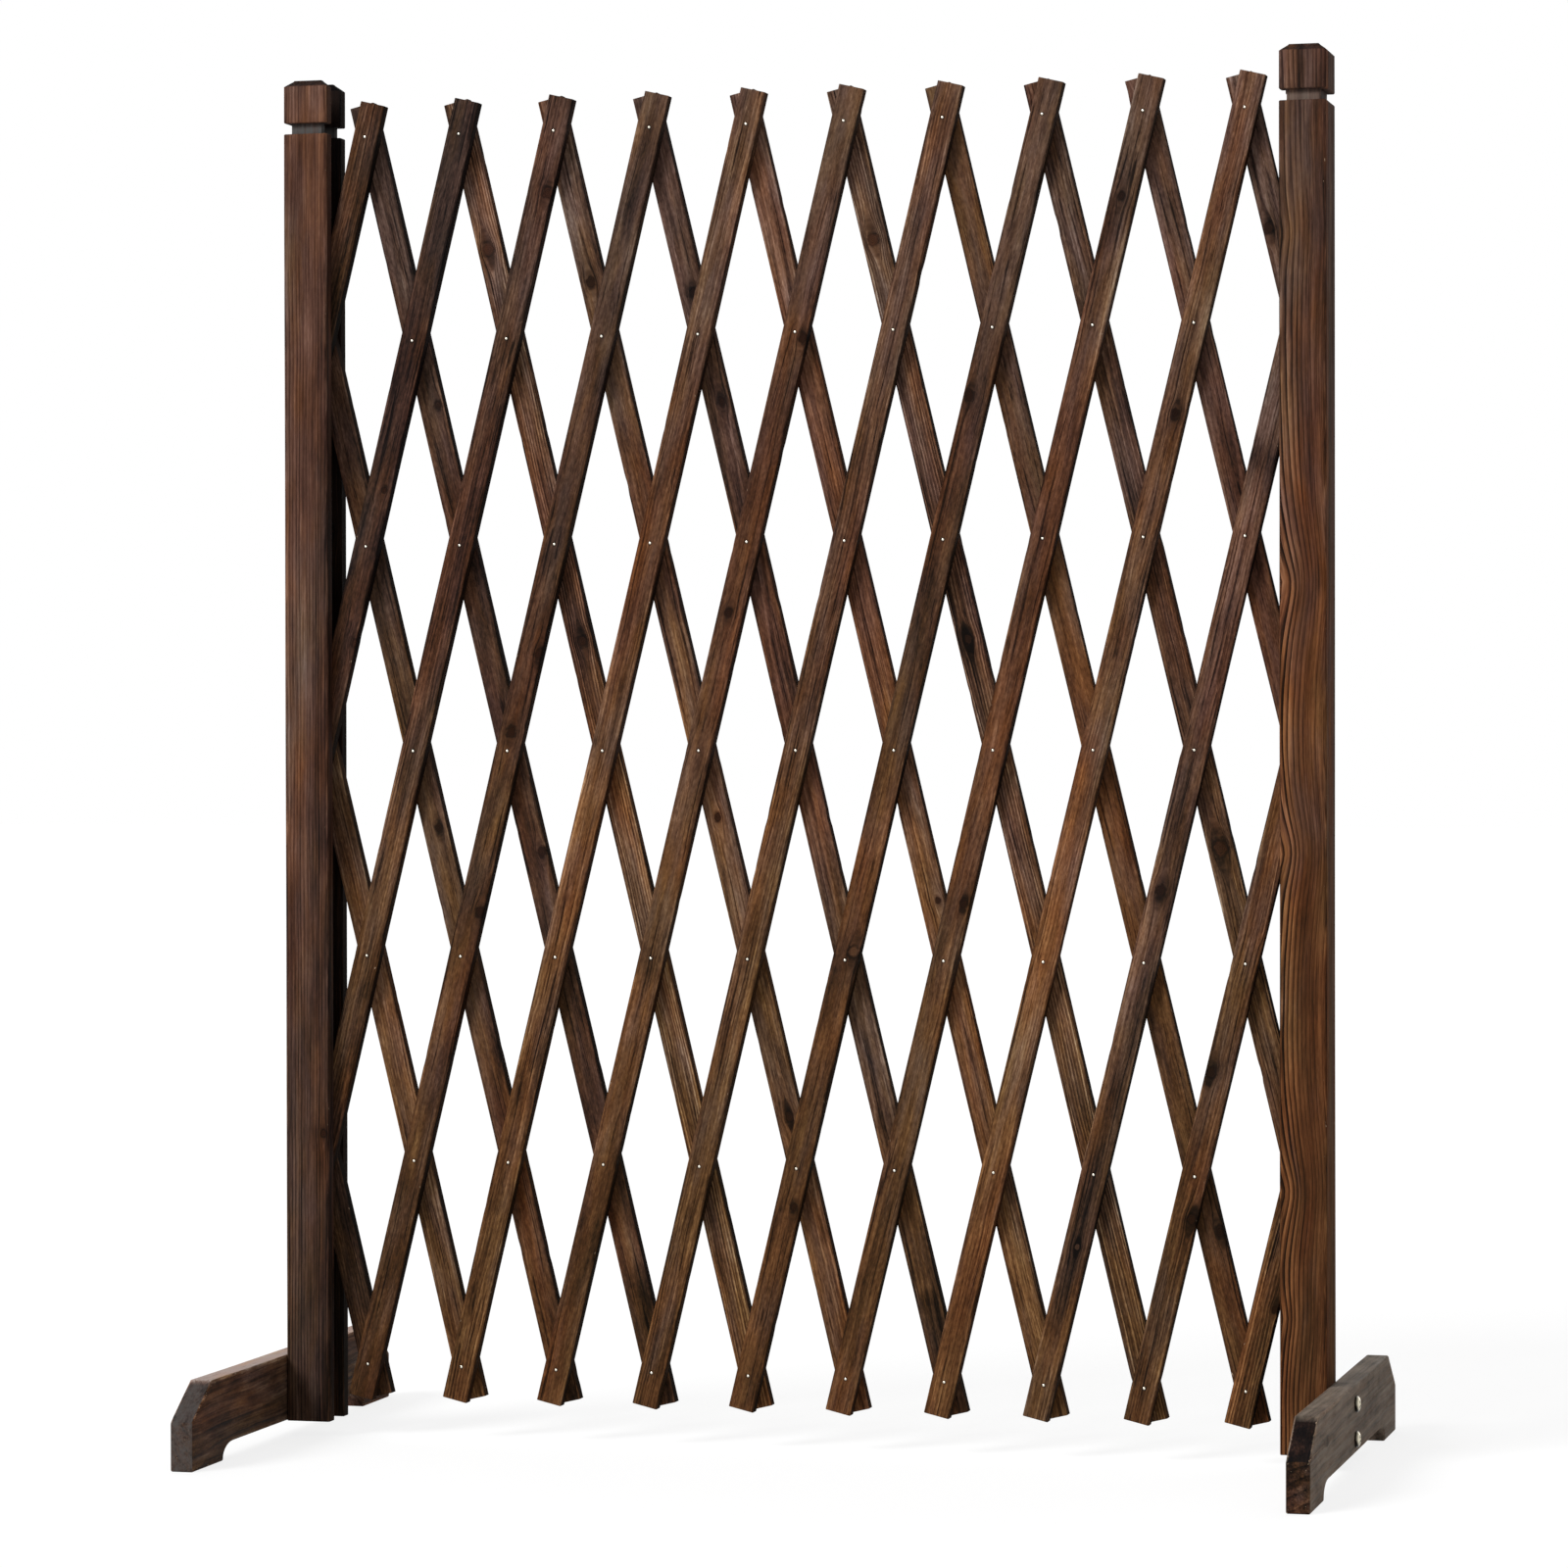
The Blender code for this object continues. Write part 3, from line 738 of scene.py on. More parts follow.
def bright_metal(name, colour, roughness, scuff):
    """Plated metal: a thin cloudy tarnish in colour and gloss, fine scuffs, faint bumps, and painted
    shade, a dark colour laid where the piece's own mark for it puts it."""
    material, tree, shader = new_material(name)
    place = step(tree, "TexCoord", out=3)
    cloud = step(tree, "TexNoise", place, None, *metal_cloud)
    scuffs = step(tree, "TexNoise", place, None, *metal_scuffs)
    limits = (*tarnish_edge, 0.0, tarnish_most)
    tarnish = step(tree, "MapRange", cloud, *limits, interpolation_type="SMOOTHSTEP")
    dull = tuple(tarnish_darkness * part for part in colour)
    tint = step(tree, "MixRGB", tarnish, (*colour, 1), (*dull, 1))
    # Painted shade where the piece's own mark puts it
    painted_shade = split(tree, step(tree, "Attribute", out=1, attribute_name="painted_shade"))[0]
    tint = step(tree, "MixRGB", painted_shade, tint, shade_colour)
    tree.links.new(tint, shader.inputs["Base Color"])
    shader.inputs["Metallic"].default_value = 1.0
    gloss = step(tree, "Math", tarnish, tarnish_dullness, roughness, operation="MULTIPLY_ADD")
    gloss = step(tree, "Math", scuffs, scuff, gloss, operation="MULTIPLY_ADD", use_clamp=True)
    tree.links.new(gloss, shader.inputs["Roughness"])
    tree.links.new(step(tree, "Bump", *metal_bump, None, scuffs), shader.inputs["Normal"])
    return material


def on_a_pivot_pin(column, row):
    """Whether a node is one of the two that have a hidden pin in place of a rivet."""
    return row == middle_row and column in post_columns


brass = bright_metal("rivet_brass", (0.92, 0.85, 0.72), roughness=0.22, scuff=0.12)
rivet_turn = np.radians(dome_turns)
rise, edge = rivet_head_rise * np.sin(rivet_turn), rivet_head_radius * np.cos(rivet_turn)
shank = [(-rivet_face, rivet_radius), (rivet_face, rivet_radius)]
rivet_profile = [*zip(-rivet_face - rise, edge), *shank, *zip(rivet_face + rise[::-1], edge[::-1])]
# The painted shade grows from the middle of the head towards its rim
unshaded, growth, darkest = rivet_shade
share = np.array(rivet_profile)[:, 1] / rivet_head_radius
painted_shade = np.clip((share - unshaded) / growth, 0, darkest)
for number in range(1, lath_count + 1):
    body = f"front_lath_{number:02d}"
    nodes = [node for node in lath_nodes(number, 1) if not on_a_pivot_pin(*node)]
    shells = [turned(node_point(*node), (0, 1, 0), rivet_profile, rivet_sides, painted_shade) for node in nodes]
    rivets = skin(f"{body}_rivets", shells, brass)
    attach(rivets, body)

# Pivot pins
# A plain steel pin at half height in each post, on which the two end laths are hung. It is
# driven in from behind, blind in the front batten, and its domed end just shows at the back.
pin_dome = 0.0006
pin_tip_share = 0.8
pin_sides = 24
bodies = frame["record"]["behaviour"]["bodies"]
body_of = {node: body for body, members in bodies.items() for node in members}
pin_steel = bright_metal("pin_steel", (0.56, 0.54, 0.50), roughness=0.30, scuff=0.2)
for hand in ("left", "right"):
    node = f"{hand}_pivot_pin"
    low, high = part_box(node)
    pin_radius = (high.x - low.x) / 2
    turn = np.radians(dome_turns[::-1])
    dome = zip(high.y + pin_dome * np.sin(turn), pin_radius * np.cos(turn))
    profile = [(low.y, pin_radius * pin_tip_share), (low.y + pin_dome, pin_radius), *dome]
    centre = ((low.x + high.x) / 2, 0, (low.z + high.z) / 2)
    pin = skin(f"{node}_steel", [turned(centre, (0, 1, 0), profile, pin_sides)], pin_steel)
    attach(pin, body_of[node])
    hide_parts(node)

# Posts
# Two scorched battens with a slot between them for the laths, closed on the outer side by a
# glued spacer strip. Their heads are chamfered and a groove is sawn round below the head.
# chamfer_ease and lip_ease are the shares of the chamfer and of the groove's lips that are rounded
head_chamfer_side = 0.007
head_chamfer_rise = 0.006
chamfer_ease = 0.2
head_to_groove = 0.038
groove_height = 0.0095
groove_depth_side = 0.006
groove_depth_face = 0.005
groove_lip = 0.0009
lip_ease = 0.3
groove_arris = 0.0004
post_arris = 0.0019
slot_arris = 0.0006
post_sawn_edge = 0.0007
post_ring_step = 0.006
post_shares = np.array([0.04, 0.12, 0.22, 0.34, 0.46, 0.58, 0.70, 0.80, 0.89, 0.96])
post_hollow, post_hollow_wave = 0.0002, 0.12
glue_line = 0.00035
post_heart_lean = (0.006, 0.010)
# For each post, how much darker the chamfer and the groove are burnt, the dust in the groove and how
# much lighter the narrow sides are, whose own burning and painted shade keep only a share of their
# strength
chamfer_burn = {"left": 0.30, "right": 0.20}
groove_burn = {"left": 0.08, "right": -0.08}
groove_dust = {"left": 0.90, "right": 0.55}
side_change = {"left": 0.0, "right": 0.16}
side_burn_and_shade = 0.35
# How much warmth is lost with each metre above the middle height
warmth_fall = {"left": 0.20, "right": 1.00}
warmth_middle = 0.5
# Where a post is cut in further than this it is burnt. The top half of the groove, under the head,
# holds a painted shadow of the head: it is darker and has less dust. All of the groove is cooler.
burnt_cut = 1.2 * groove_lip
under_head_reach = groove_height / 2
head_shadow_darkening = 0.22
head_shadow_dust_loss = 0.8
groove_cold = 0.3
# Where each post is rusty red: height, place across, reach up and down and reach across in
# millimetres, and its share
post_rust = {"left": (700, 0, 280, 50, 1.0), "right": (650, -14, 220, 12, 0.6)}
# The share of the left edge's year lines in the rest: what it starts from there, where more than 1
# counts as 1, and how much it falls over the whole width
bold_share, bold_fall = 1.30, 2.3
# From this height the year lines lose a share of their strength over this reach, and on the
# chamfers they lose another
head_start, head_reach, head_loss, chamfer_loss = 0.96, 0.12, 0.5, 0.6
# The mark of a rivet's seat where there is none: a metre away, in straight grain
no_seat = (1, 1, 0)

# Tone, warmth, how boldly the year lines show at the left and at the right edge (dark lines are
# less than nothing), the angle of the saw cut and how far off the heart is, in millimetres
post_boards = {
    "left_front_batten": (0.44, 0.22, -0.36, -0.30, 12, 90),
    # The left rear batten is darker partly as painted shade, for its shadow behind the front batten
    "left_rear_batten": (0.22, 0.34, -0.10, -0.10, 30, 80),
    "left_spacer": (0.34, 0.35, -0.12, -0.12, 20, 60),
    "right_front_batten": (0.43, 0.94, -1.15, -0.18, 24, 60),
    "right_rear_batten": (0.40, 0.55, -0.18, -0.12, 74, 50),
    "right_spacer": (0.42, 0.55, -0.10, -0.10, 20, 60),
}
# Knots, in millimetres: height, place across from the middle of the batten, radius
post_knots = {
    "left_front_batten": [(268, 15, 2.6)],
    "left_rear_batten": [(350, -10, 5), (800, 6, 6)],
    "right_rear_batten": [(440, 9, 6), (920, -4, 7)],
}
# Knots that lie just off the left edge, in millimetres: height, how far they push the lines aside
# and the reach
post_bulges = {
    "right_front_batten": [(1035, 7, 30), (744, 20, 50), (518, 18, 44), (234, 18, 44), (128, 8, 30)],
}
# Smudges and worn places: height, place across, reach up and down and reach across in millimetres,
# and change of tone
post_patches = {
    "left_front_batten": [
        (1180, -10, 30, 6, 0.06), (1180, 0, 30, 5, -0.05), (1170, 4, 30, 16, 0.13),
        (1080, 5, 160, 14, 0.09), (1080, -12, 140, 8, 0.05), (1100, 19, 120, 5, 0.06),
        (720, -13, 220, 9, 0.15), (720, 1, 220, 8, 0.07), (700, 15, 250, 6, -0.08),
        (860, -4, 90, 8, -0.07), (180, 4, 220, 14, -0.07), (180, 18, 250, 6, -0.06),
        (268, 12, 10, 8, -0.1), (50, 18, 30, 6, -0.2),
    ],
    "left_rear_batten": [
        (750, 15, 300, 20, -0.12),
    ],
    "right_front_batten": [
        (1170, -12, 30, 6, 0.08), (1170, -2, 30, 2.5, -0.26), (1170, 5, 30, 4, 0.05),
        (1090, -2, 100, 14, 0.08), (1020, 6, 50, 16, -0.05), (1100, 15, 80, 6, -0.06),
        (720, -12, 220, 10, 0.05), (620, 10, 250, 8, 0.05), (700, 20, 250, 4, 0.03),
        (200, -19, 250, 4, -0.1), (180, -10, 220, 10, -0.03), (200, 12, 220, 10, -0.04),
        (750, -19, 500, 4, -0.1), (1100, -16, 120, 6, -0.05),
    ],
}


def post_stations(base, top):
    """Heights up a post with the cut-in of its sides and of its face at each, and the radius of its
    arrises: evenly spaced between the lips of the groove, the foot of the chamfer and the ends. The
    breaks at the groove are set by how far they are from its lower and from its upper side."""
    groove_top = top - head_to_groove
    groove_base = groove_top - groove_height
    eased_lip, eased_side = groove_lip * lip_ease, head_chamfer_side * chamfer_ease
    plain = (0.0, 0.0, post_arris)
    groove = [
        (groove_lip, *plain),
        (eased_lip, eased_lip, eased_lip, post_arris),
        (0.0, groove_lip, groove_lip, post_arris / 2),
        (0.0, groove_depth_side, groove_depth_face, groove_arris),
    ]
    breaks = [
        (base, *plain),
        *((groove_base - away, *cut) for away, *cut in groove),
        *((groove_top + away, *cut) for away, *cut in groove[::-1]),
        (top - head_chamfer_rise, *plain),
        (top - head_chamfer_rise * (1 - chamfer_ease), eased_side, eased_side, post_arris),
        (top, head_chamfer_side, head_chamfer_side, post_arris / 2),
    ]
    breaks = np.array(breaks)
    counts = np.maximum(1, np.round(np.diff(breaks[:, 0]) / post_ring_step).astype(int))
    order = [number + np.arange(count) / count for number, count in enumerate(counts)]
    order = np.concatenate(order + [[len(counts)]])
    return [np.interp(order, np.arange(len(breaks)), column) for column in breaks.T]


def make_post_piece(node, material):
    """A batten or a spacer strip: the box of its node, cut in by the chamfer and the groove on the
    sides that show, with outer arrises rounder than those at the slot and a ring of points at each
    knot. A spacer strip also fills the glue lines. Knots off its edge push the heart away by an
    exponential fall, and its cover is dust in the groove and a bell curve of rust red."""
    low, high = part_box(node)
    height, *cuts = post_stations(low.z, high.z)
    knots = np.reshape(post_knots.get(node, []), (-1, 3)) * mm
    at_knots = np.searchsorted(height, knots[:, 0])
    side_cut, face_cut, arris = (np.insert(cut, at_knots, cut[at_knots]) for cut in cuts)
    height = np.insert(height, at_knots, knots[:, 0])
    spacer, left, front, rear = "spacer" in node, "left" in node, "front" in node, "rear" in node
    seed = 7 * list(post_boards).index(node)
    hollow = [post_hollow * (ripple(height, post_hollow_wave, seed + side) - 1) / 2 for side in range(4)]
    edges = [
        low.x + side_cut * (left or not spacer) - hollow[0],
        high.x - side_cut * (not left or not spacer) + hollow[1],
        low.y + (face_cut - hollow[2]) * front - glue_line * spacer,
        high.y - (face_cut - hollow[3]) * rear + glue_line * spacer,
    ]
    inner = np.minimum(arris, slot_arris)
    easing = [inner, inner, arris, arris] if front else [arris, arris, inner, inner]
    if spacer:
        easing = [inner] * 4
    points = bar_points(height, edges, easing, post_sawn_edge, post_shares)

    width, middle = high.x - low.x, (low.x + high.x) / 2
    across, deep, along = points[..., 0] - middle, points[..., 1], points[..., 2]
    tone, warmth, left_ridge, right_ridge, saw_angle, heart = post_boards[node]
    saw_turn = math.radians(saw_angle)
    burnt = np.pad(side_cut > burnt_cut, bar_end_rings, mode="edge")[:, None]
    over_groove = along - high.z + head_to_groove
    in_groove = burnt & (over_groove < groove_lip)
    # A painted shadow of the head over the top half of the groove
    under_head = in_groove * np.clip(1 + over_groove / under_head_reach, 0, 1)
    hand = "left" if left else "right"
    wear = wear_marks(points)
    tone = tone - np.where(in_groove, groove_burn[hand], chamfer_burn[hand]) * burnt
    tone = tone + side_change[hand] * wear[..., 1] - head_shadow_darkening * under_head
    warmth = warmth - groove_cold * in_groove + warmth_fall[hand] * (warmth_middle - along)
    share = np.clip(across / width + 0.5, 0, 1)
    ridge = right_ridge + (left_ridge - right_ridge) * np.clip(bold_share - bold_fall * share, 0, 1)
    ridge = ridge * (1 - head_loss * np.clip((along - head_start) / head_reach, 0, 1))
    ridge = ridge * (1 - chamfer_loss * (burnt & ~in_groove))
    heart_across = post_heart_lean[0] * along - heart * mm * math.cos(saw_turn)
    heart_deep = post_heart_lean[1] * along + heart * mm * math.sin(saw_turn)
    for at, push, reach in post_bulges.get(node, []):
        away = np.hypot(along - at * mm, across + width / 2)
        heart_across = heart_across + push * mm * np.exp(-away / (reach * mm))
    dust = groove_dust[hand] * in_groove * (1 - head_shadow_dust_loss * under_head)
    marks = {
        "grain": vectors(across - heart_across, deep - heart_deep, along + seed),
        "knot": nearest_knot(across, along, knots),
        "wear": wear * (1, side_burn_and_shade, 1),
        "board": vectors(patched(tone, across / mm, along / mm, post_patches.get(node, [])), warmth, ridge),
        "seat": np.ones_like(points) * no_seat,
        "cover": vectors(dust, patched(0.0, across / mm, along / mm, [post_rust[hand]]), 0.0),
    }
    return skin(f"{node}_wood", [(points, marks)], material)


fine_line = [(0.0, 0.0), (0.45, 0.06), (0.74, 0.50), (0.90, 1.0), (1.0, 0.0)]
post_fields = {
    "fibre": (1100.0, 20.0, 3.0, 0.42, 0.0),
    "fleck": (800.0, 150.0, 3.0, 0.18, 0.0),
    "streak": (420.0, 6.0, 3.0, 0.34, 0.0),
    "band": (150.0, 4.0, 2.0, 0.28, 0.0),
    "smudge": (60.0, 16.0, 4.0, 0.34, 0.0),
}
post_wood = {
    name: charred_softwood(
        name, usual_year, fine_line, post_fields, wander=0.004, soot=soot, cracks=cracks, tint=tint, dust=dust
    )
    for name, soot, cracks, tint, dust in (
        ("post_wood", 0.08, 0.09, (0.95, 0.97, 0.96), (0.080, 0.075, 0.072)),
        ("bold_post_wood", 0.06, 0.06, (1.03, 0.96, 0.96), (0.130, 0.100, 0.082)),
    )
}
for node in post_boards:
    wood = "bold_post_wood" if node == "right_front_batten" else "post_wood"
    piece = make_post_piece(node, post_wood[wood])
    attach(piece, body_of[node])
    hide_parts(node)

# Feet
# A scorched board on edge across the foot of each post, on its outer side, with its upper
# corners sawn off and its underside cut away to an arch, so that it stands on two toes.
foot_chamfer_run = 0.046
foot_chamfer_rise = 0.030
toe_length = 0.070
arch_rise = 0.014
arch_ease = 0.026
foot_arris = 0.0016
foot_sawn_edge = 0.0012
foot_ring_step = 0.006
foot_hollow, foot_hollow_wave = 0.0003, 0.10
foot_shares = np.array([0.03, 0.14, 0.28, 0.42, 0.58, 0.72, 0.86, 0.97])
foot_heart_lean = 0.02
# How many rings of points there are on a sawn corner, on a toe and on the rise of the arch
corner_rings, toe_rings, rise_rings = 8, 6, 8
# Tone, warmth, how boldly the year lines show, the angle of the saw cut and how far off the heart
# is; knots by their place along, their height and their radius; and smudges and worn places by
# their place along, their height, their reach along and up and their change of tone. All lengths
# are in millimetres, and the front is less than nothing.
foot_boards = {"left_foot": (0.48, 0.52, -0.26, 70, 60), "right_foot": (0.46, 0.46, -0.40, 38, 60)}
foot_knots = {"left_foot": [(50, 40, 5)], "right_foot": [(-160, 46, 3.6)]}
foot_patches = {
    "left_foot": [
        (-60, 71, 50, 5, 0.2), (-160, 71, 50, 3, 0.14), (-130, 52, 6, 3, 0.3), (-40, 30, 30, 20, -0.1),
    ],
    "right_foot": [
        (-100, 71, 150, 6, 0.06), (-235, 44, 6, 6, 0.26), (120, 45, 160, 50, -0.14),
    ],
}
# Change of tone on the top, on the sawn corners and on the ends, the dust on the sides and on the
# corners and ends, and the width of a year in millimetres. The right foot's dust on the sides is
# light grey ash and also painted light: that side faces away from the key lamp and is lightened.
foot_finish = {
    "left_foot": (0.46, -0.10, -0.04, 0.06, 0.62, 4.6),
    "right_foot": (-0.20, -0.36, -0.18, 0.56, 0.0, 9.0),
}
# How much lighter the arrises are, how much cooler the level faces, and how much weaker the year
# lines show on the sawn corners and on the ends
foot_arris_change = 0.14
foot_level_cold = 0.5
foot_line_loss = (0.7, 0.4)


def make_foot(node, material):
    """A foot board: its lower edge is the floor under the toes and rises in a quarter of an ellipse
    to the arch; its upper edge is level and falls in a straight line over each sawn corner. The
    rings of points follow the cosine of the ellipse, with one more at each knot. Tone, lines and
    dust are those of the sides, of the top and the sawn corners, or of the ends; on the right foot
    the dust of the sides is light grey ash and partly painted light, lightened to look lit."""
    low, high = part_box(node)
    half, height = (high.y - low.y) / 2, high.z
    toe, chamfer = half - toe_length, half - foot_chamfer_run
    knots = np.array(foot_knots[node]) * mm
    ease = toe - arch_ease * (1 - np.cos(np.radians(np.linspace(0, 90, rise_rings))))
    corner, over_toe = np.linspace(half, chamfer, corner_rings), np.linspace(chamfer, toe, toe_rings)
    outer = [*corner, *over_toe[1:-1], *ease]
    inner = np.linspace(ease[-1], 0, int(ease[-1] / foot_ring_step))[1:]
    place = np.concatenate([outer, inner])
    place = np.sort(np.concatenate([-place, place[-2::-1], knots[:, 0]]))
    beyond = np.clip((toe - np.abs(place)) / arch_ease, 0, 1)
    left = "left" in node
    seed = 31 if left else 37
    hollow = [foot_hollow * (ripple(place, foot_hollow_wave, seed + side) - 1) / 2 for side in range(4)]
    edges = [
        arch_rise * np.sqrt(1 - (1 - beyond) ** 2) - hollow[0] * (beyond > 0),
        height - foot_chamfer_rise * np.clip((np.abs(place) - chamfer) / foot_chamfer_run, 0, 1) + hollow[1],
        low.x - hollow[2] * left,
        high.x + hollow[3] * (not left),
    ]
    easing = [np.full(len(place), foot_arris)] * 4
    points = bar_points(place, edges, easing, foot_sawn_edge, foot_shares)

    across, deep, along = points[..., 0], points[..., 1], points[..., 2]
    tone, warmth, ridge, saw_angle, heart = foot_boards[node]
    saw_turn = math.radians(saw_angle)
    outwards = np.sign(low.x)
    heart_across = foot_heart_lean * along - heart * mm * math.cos(saw_turn)
    heart_deep = (low.x + high.x) / 2 + outwards * heart * mm * math.sin(saw_turn) + foot_heart_lean * along
    wear = wear_marks(points)
    level, sawn = wear[..., 1] * (1 - wear[..., 2]), np.abs(along) > chamfer
    ends = np.stack([level * sawn, wear[..., 2]], axis=-1)
    sides = np.clip(1 - ends.sum(axis=-1), 0, 1)
    top_change, chamfer_change, end_change, side_dust_and_light, end_dust, _ = foot_finish[node]
    tone = patched(tone, across / mm, along / mm, foot_patches[node]) + ends @ (chamfer_change, end_change)
    tone = tone + foot_arris_change * wear[..., 0] * sides
    tone = tone + top_change * level * ~sawn * (across > height / 2)
    marks = {
        "grain": vectors(across - heart_across, deep - heart_deep, along + seed),
        "knot": nearest_knot(across, along, knots),
        "wear": wear * (1, 0, 0),
        "board": vectors(tone, warmth - foot_level_cold * level, ridge * (1 - ends @ foot_line_loss)),
        "seat": np.ones_like(points) * no_seat,
        # On the right foot the side dust is partly painted light
        "cover": vectors(side_dust_and_light * sides + end_dust * (1 - sides), 0.0, 0.0),
    }
    return skin(f"{node}_wood", [(points[..., [1, 2, 0]], marks)], material)


foot_fields = {
    "fibre": (1300.0, 30.0, 3.0, 0.34, 0.0),
    "fleck": (800.0, 200.0, 3.0, 0.32, 0.0),
    "streak": (420.0, 10.0, 3.0, 0.54, 0.0),
    "band": (150.0, 5.0, 2.0, 0.34, 0.0),
    "smudge": (70.0, 30.0, 4.0, 0.66, 0.0),
}
# The dust colours; the right foot's is pale enough to be painted light on its shaded side as well
foot_dust_and_light = {"left_foot": (0.064, 0.058, 0.055), "right_foot": (0.215, 0.173, 0.134)}
foot_wood = {
    node: charred_softwood(
        f"{node}_wood",
        foot_finish[node][-1] * mm,
        fine_line,
        foot_fields,
        wander=0.008,
        soot=0.10,
        cracks=0.10,
        chipped=0.62,
        dust=foot_dust_and_light[node],
    )
    for node in foot_boards
}
for node in foot_boards:
    piece = make_foot(node, foot_wood[node])
    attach(piece, body_of[node])
    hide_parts(node)

# Bolts
# Pan-headed bolts with a cross recess, brass plated. Two go through each foot board into the
# spacer strip of the post.
bolt_shank_radius = 0.0025
bolt_tip_share = 0.7
bolt_tip_length = 0.001
bolt_head_radius = 0.0068
bolt_head_rise = 0.0040
bolt_seat_share = 0.97
bolt_seat_ease = 0.0002
bolt_rim = 0.0009
bolt_sides = 72
crown_turns = np.linspace(0, 88, 40)
recess_radius = 0.0040
recess_half_width = 0.0010
recess_wall = 0.0002
recess_depth = 0.0019
# The recess is this much wider in the middle, and narrows by this share to its end; its depth falls
# with this power of the distance left to the end
recess_flare, recess_taper, recess_power = 1.6, 0.6, 0.7
# Painted shade in the recess, on the rim from this share of the radius on, and on the low side
recess_shade, rim_shade, rim_start, low_shade = 0.95, 0.9, 0.80, 0.65


def bolt_shell(tip, seat, height, side):
    """A turned bolt whose crown falls as a quarter of an ellipse from the middle to the rim. The
    recess is taken off it: as deep as recess_depth at the middle and sloping up to nothing at
    recess_radius, wherever the distance to the nearer arm of the cross is under its half width."""
    turn = np.radians(crown_turns)
    crown = seat + bolt_rim + (bolt_head_rise - bolt_rim) * np.sin(turn)
    profile = [
        (tip, bolt_shank_radius * bolt_tip_share),
        (tip + bolt_tip_length, bolt_shank_radius),
        (seat, bolt_shank_radius),
        (seat, bolt_head_radius * bolt_seat_share),
        (seat + bolt_seat_ease, bolt_head_radius),
        *zip(crown, bolt_head_radius * np.cos(turn)),
    ]
    points, marks = turned((0, 0, height), (side, 0, 0), profile, bolt_sides)
    y, z = points[..., 1], points[..., 2] - height
    radius = np.hypot(y, z)
    arm = np.minimum(np.abs(y + z), np.abs(y - z)) / math.sqrt(2)
    half_width = recess_half_width * (recess_flare - recess_taper * radius / recess_radius)
    wall = np.clip((half_width - arm) / recess_wall, 0, 1)
    slope = np.clip(1 - radius / recess_radius, 0, 1) ** recess_power
    crowned = (side * points[..., 0] > seat + bolt_rim / 2) & (radius < bolt_head_radius)
    points[..., 0] -= side * recess_depth * wall * slope * crowned
    # Painted shade: dark in the recess and round the rim, and darker towards the bottom
    rim = np.clip((radius / bolt_head_radius - rim_start) / (1 - rim_start), 0, 1)
    low_side = np.clip(-z / bolt_head_radius, 0, 1)
    painted_shade = recess_shade * wall * (slope > 0) + rim_shade * rim + low_shade * low_side
    marks["painted_shade"] += np.clip(painted_shade, 0, 1)[..., None]
    return points, marks


plated_brass = bright_metal("plated_brass", (0.66, 0.60, 0.46), roughness=0.20, scuff=0.12)
for hand, side in (("left", -1), ("right", 1)):
    for level in ("lower", "upper"):
        node = f"{hand}_bolt_{level}"
        low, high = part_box(node)
        tip, crown = sorted((abs(low.x), abs(high.x)))
        shell = bolt_shell(tip, crown - bolt_head_rise, (low.z + high.z) / 2, side)
        bolt = skin(f"{node}_brass", [shell], plated_brass)
        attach(bolt, body_of[node])
        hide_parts(node)

# Studio
# A plain pale floor and soft daylight-coloured lamps, with a camera where the picture was taken.
view_yaw = 14.67
view_tilt = -0.5
view_roll = -0.1
view_place = (1.079, -4.173, middle_height + 0.0088)
view_lens = 114.8
floor_size = 30.0
floor_glow = 0.82
floor_shade = (0.20, 0.20, 0.20, 1)
floor_grey = (0.80, 0.80, 0.80, 1)
sky_strength = 0.22
white = (1, 1, 1, 1)


def seen_plainly(tree):
    """1 for rays from the camera or off something shiny or clear, and 0 for the light's own rays."""
    path = tree.nodes.new("ShaderNodeLightPath").outputs
    seen = step(tree, "Math", path["Is Camera Ray"], path["Is Glossy Ray"], operation="MAXIMUM")
    return step(tree, "Math", seen, path["Is Transmission Ray"], operation="MAXIMUM")


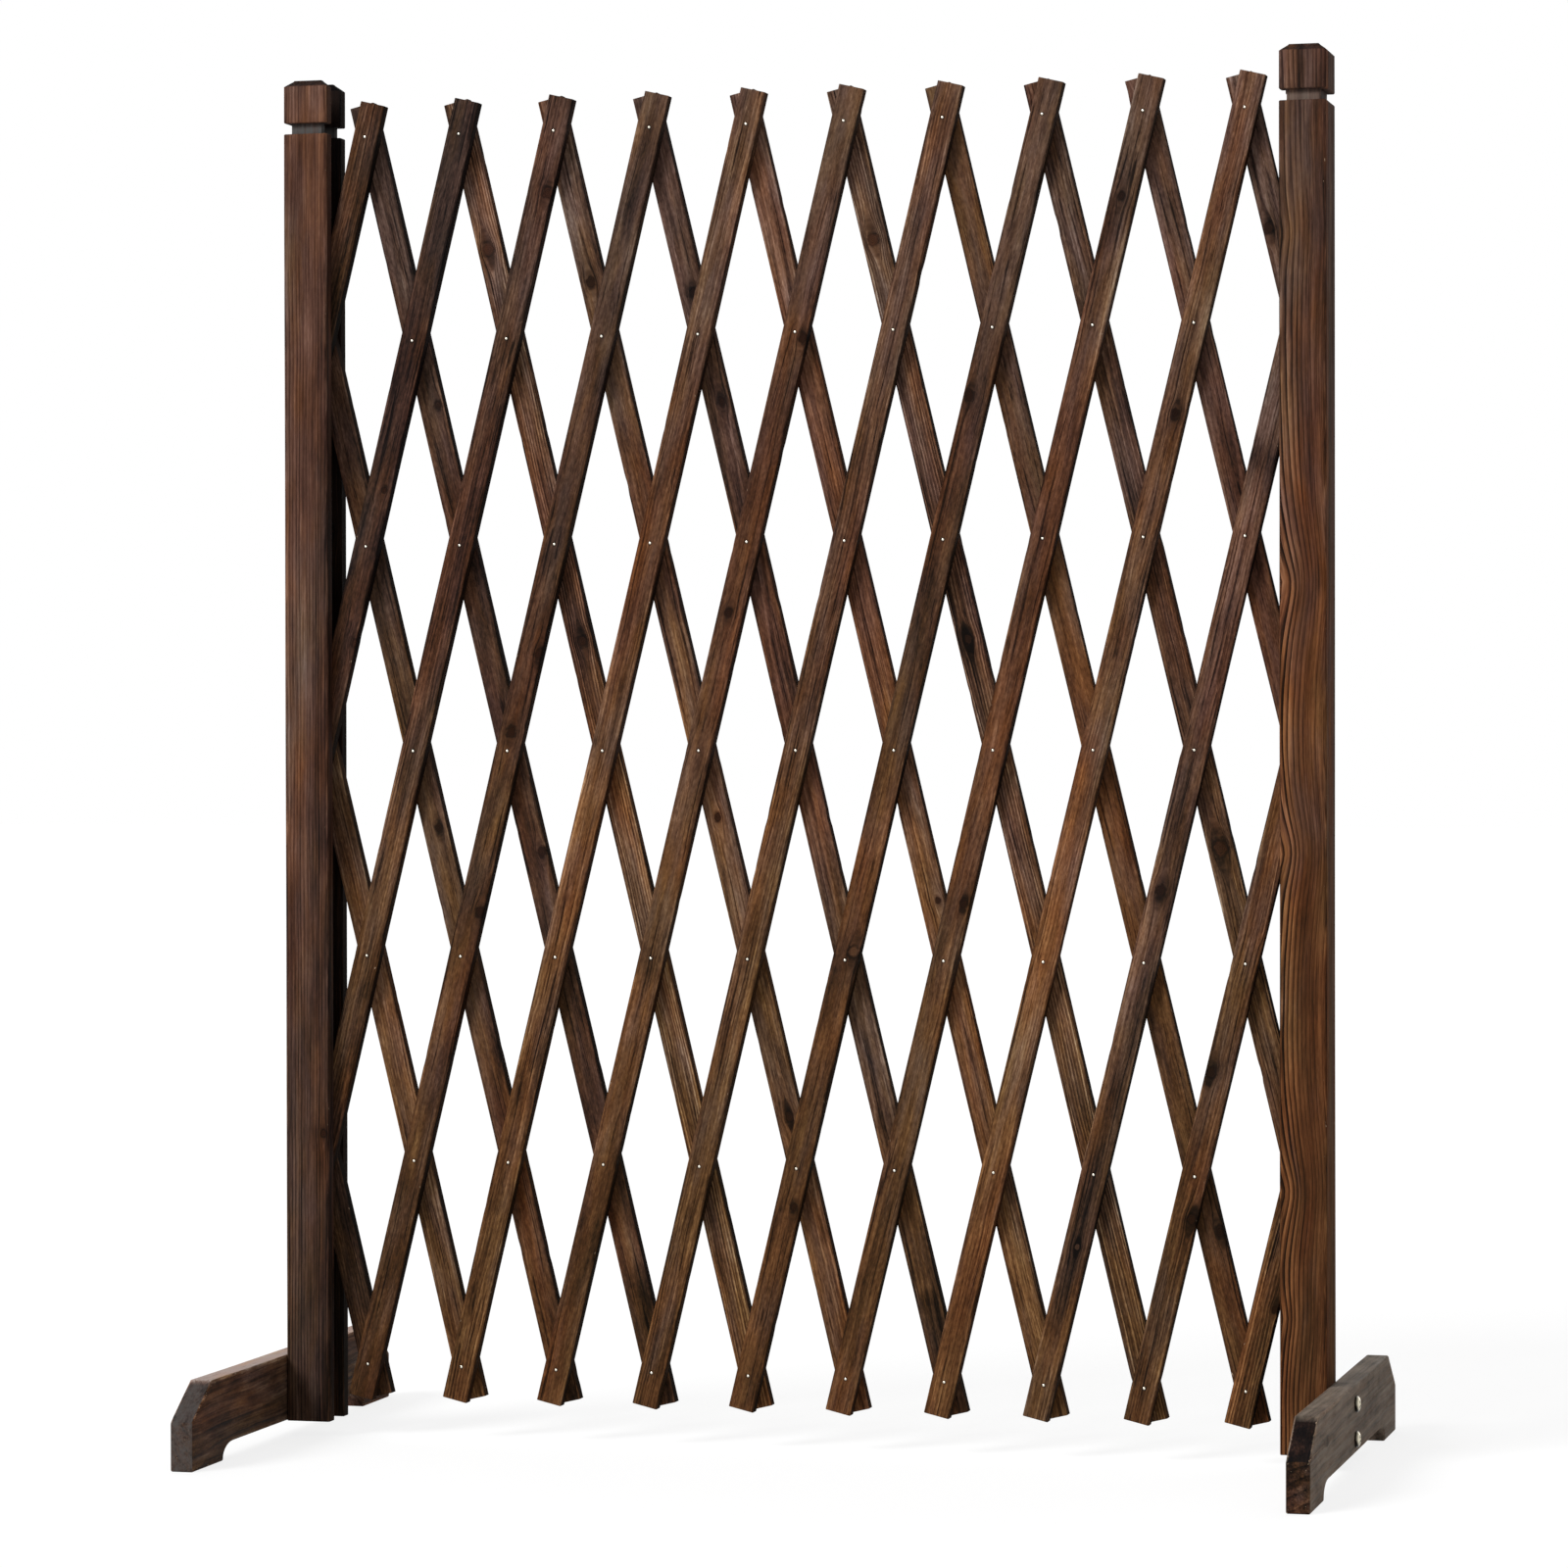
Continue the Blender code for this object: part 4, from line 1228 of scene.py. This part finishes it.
def pale_floor():
    """White floor: rays from the camera or a shiny surface see it mostly as plain white light, so
    that it matches the backdrop, and a fifth of it takes the object's shadow."""
    material, tree, shader = new_material("pale_floor")
    tree.nodes.remove(shader)
    glow = step(tree, "Emission", white, floor_glow)
    shown = step(tree, "AddShader", glow, step(tree, "BsdfDiffuse", floor_shade))
    surface = step(tree, "MixShader", seen_plainly(tree), step(tree, "BsdfDiffuse", floor_grey), shown)
    tree.links.new(surface, tree.nodes["Material Output"].inputs["Surface"])
    return material


corners = floor_size * np.array([(-1, -1, 0), (1, -1, 0), (1, 1, 0), (-1, 1, 0)], float)
floor_mesh = bpy.data.meshes.new("floor")
floor_mesh.from_pydata(corners.tolist(), [], [(0, 1, 2, 3)])
floor_mesh.materials.append(pale_floor())
floor = placed("floor", floor_mesh)

# Each lamp's strength, how wide its light is spread, where it stands, from the front towards the
# right, and how high, in degrees
for name, strength, spread, azimuth, height in (
    ("key_lamp", 3.1, 24, -36, 34),
    ("fill_lamp", 0.35, 90, 30, 20),
    ("back_lamp", 1.3, 90, 190, 35),
):
    light = bpy.data.lights.new(name, "SUN")
    light.energy = strength
    light.angle = math.radians(spread)
    placed(name, light).rotation_euler = (math.radians(90 - height), 0, math.radians(azimuth))

world = bpy.data.worlds.new("backdrop")
bpy.context.scene.world = world
world.use_nodes = True
sky = world.node_tree.nodes["Background"].inputs
backdrop = step(world.node_tree, "MapRange", seen_plainly(world.node_tree), 0.0, 1.0, sky_strength, 1.0)
world.node_tree.links.new(backdrop, sky["Strength"])
sky["Color"].default_value = white

camera_data = bpy.data.cameras.new("camera")
camera_data.lens = view_lens
camera_data.sensor_width = 36
camera_data.clip_end = 100
camera = placed("camera", camera_data)
yaw = Matrix.Rotation(math.radians(view_yaw), 4, "Z")
tilt = Matrix.Rotation(math.radians(90 + view_tilt), 4, "X")
roll = Matrix.Rotation(math.radians(view_roll), 4, "Z")
camera.matrix_world = Matrix.Translation(view_place) @ yaw @ tilt @ roll
bpy.context.scene.camera = camera
bpy.context.scene.view_settings.view_transform = "Standard"
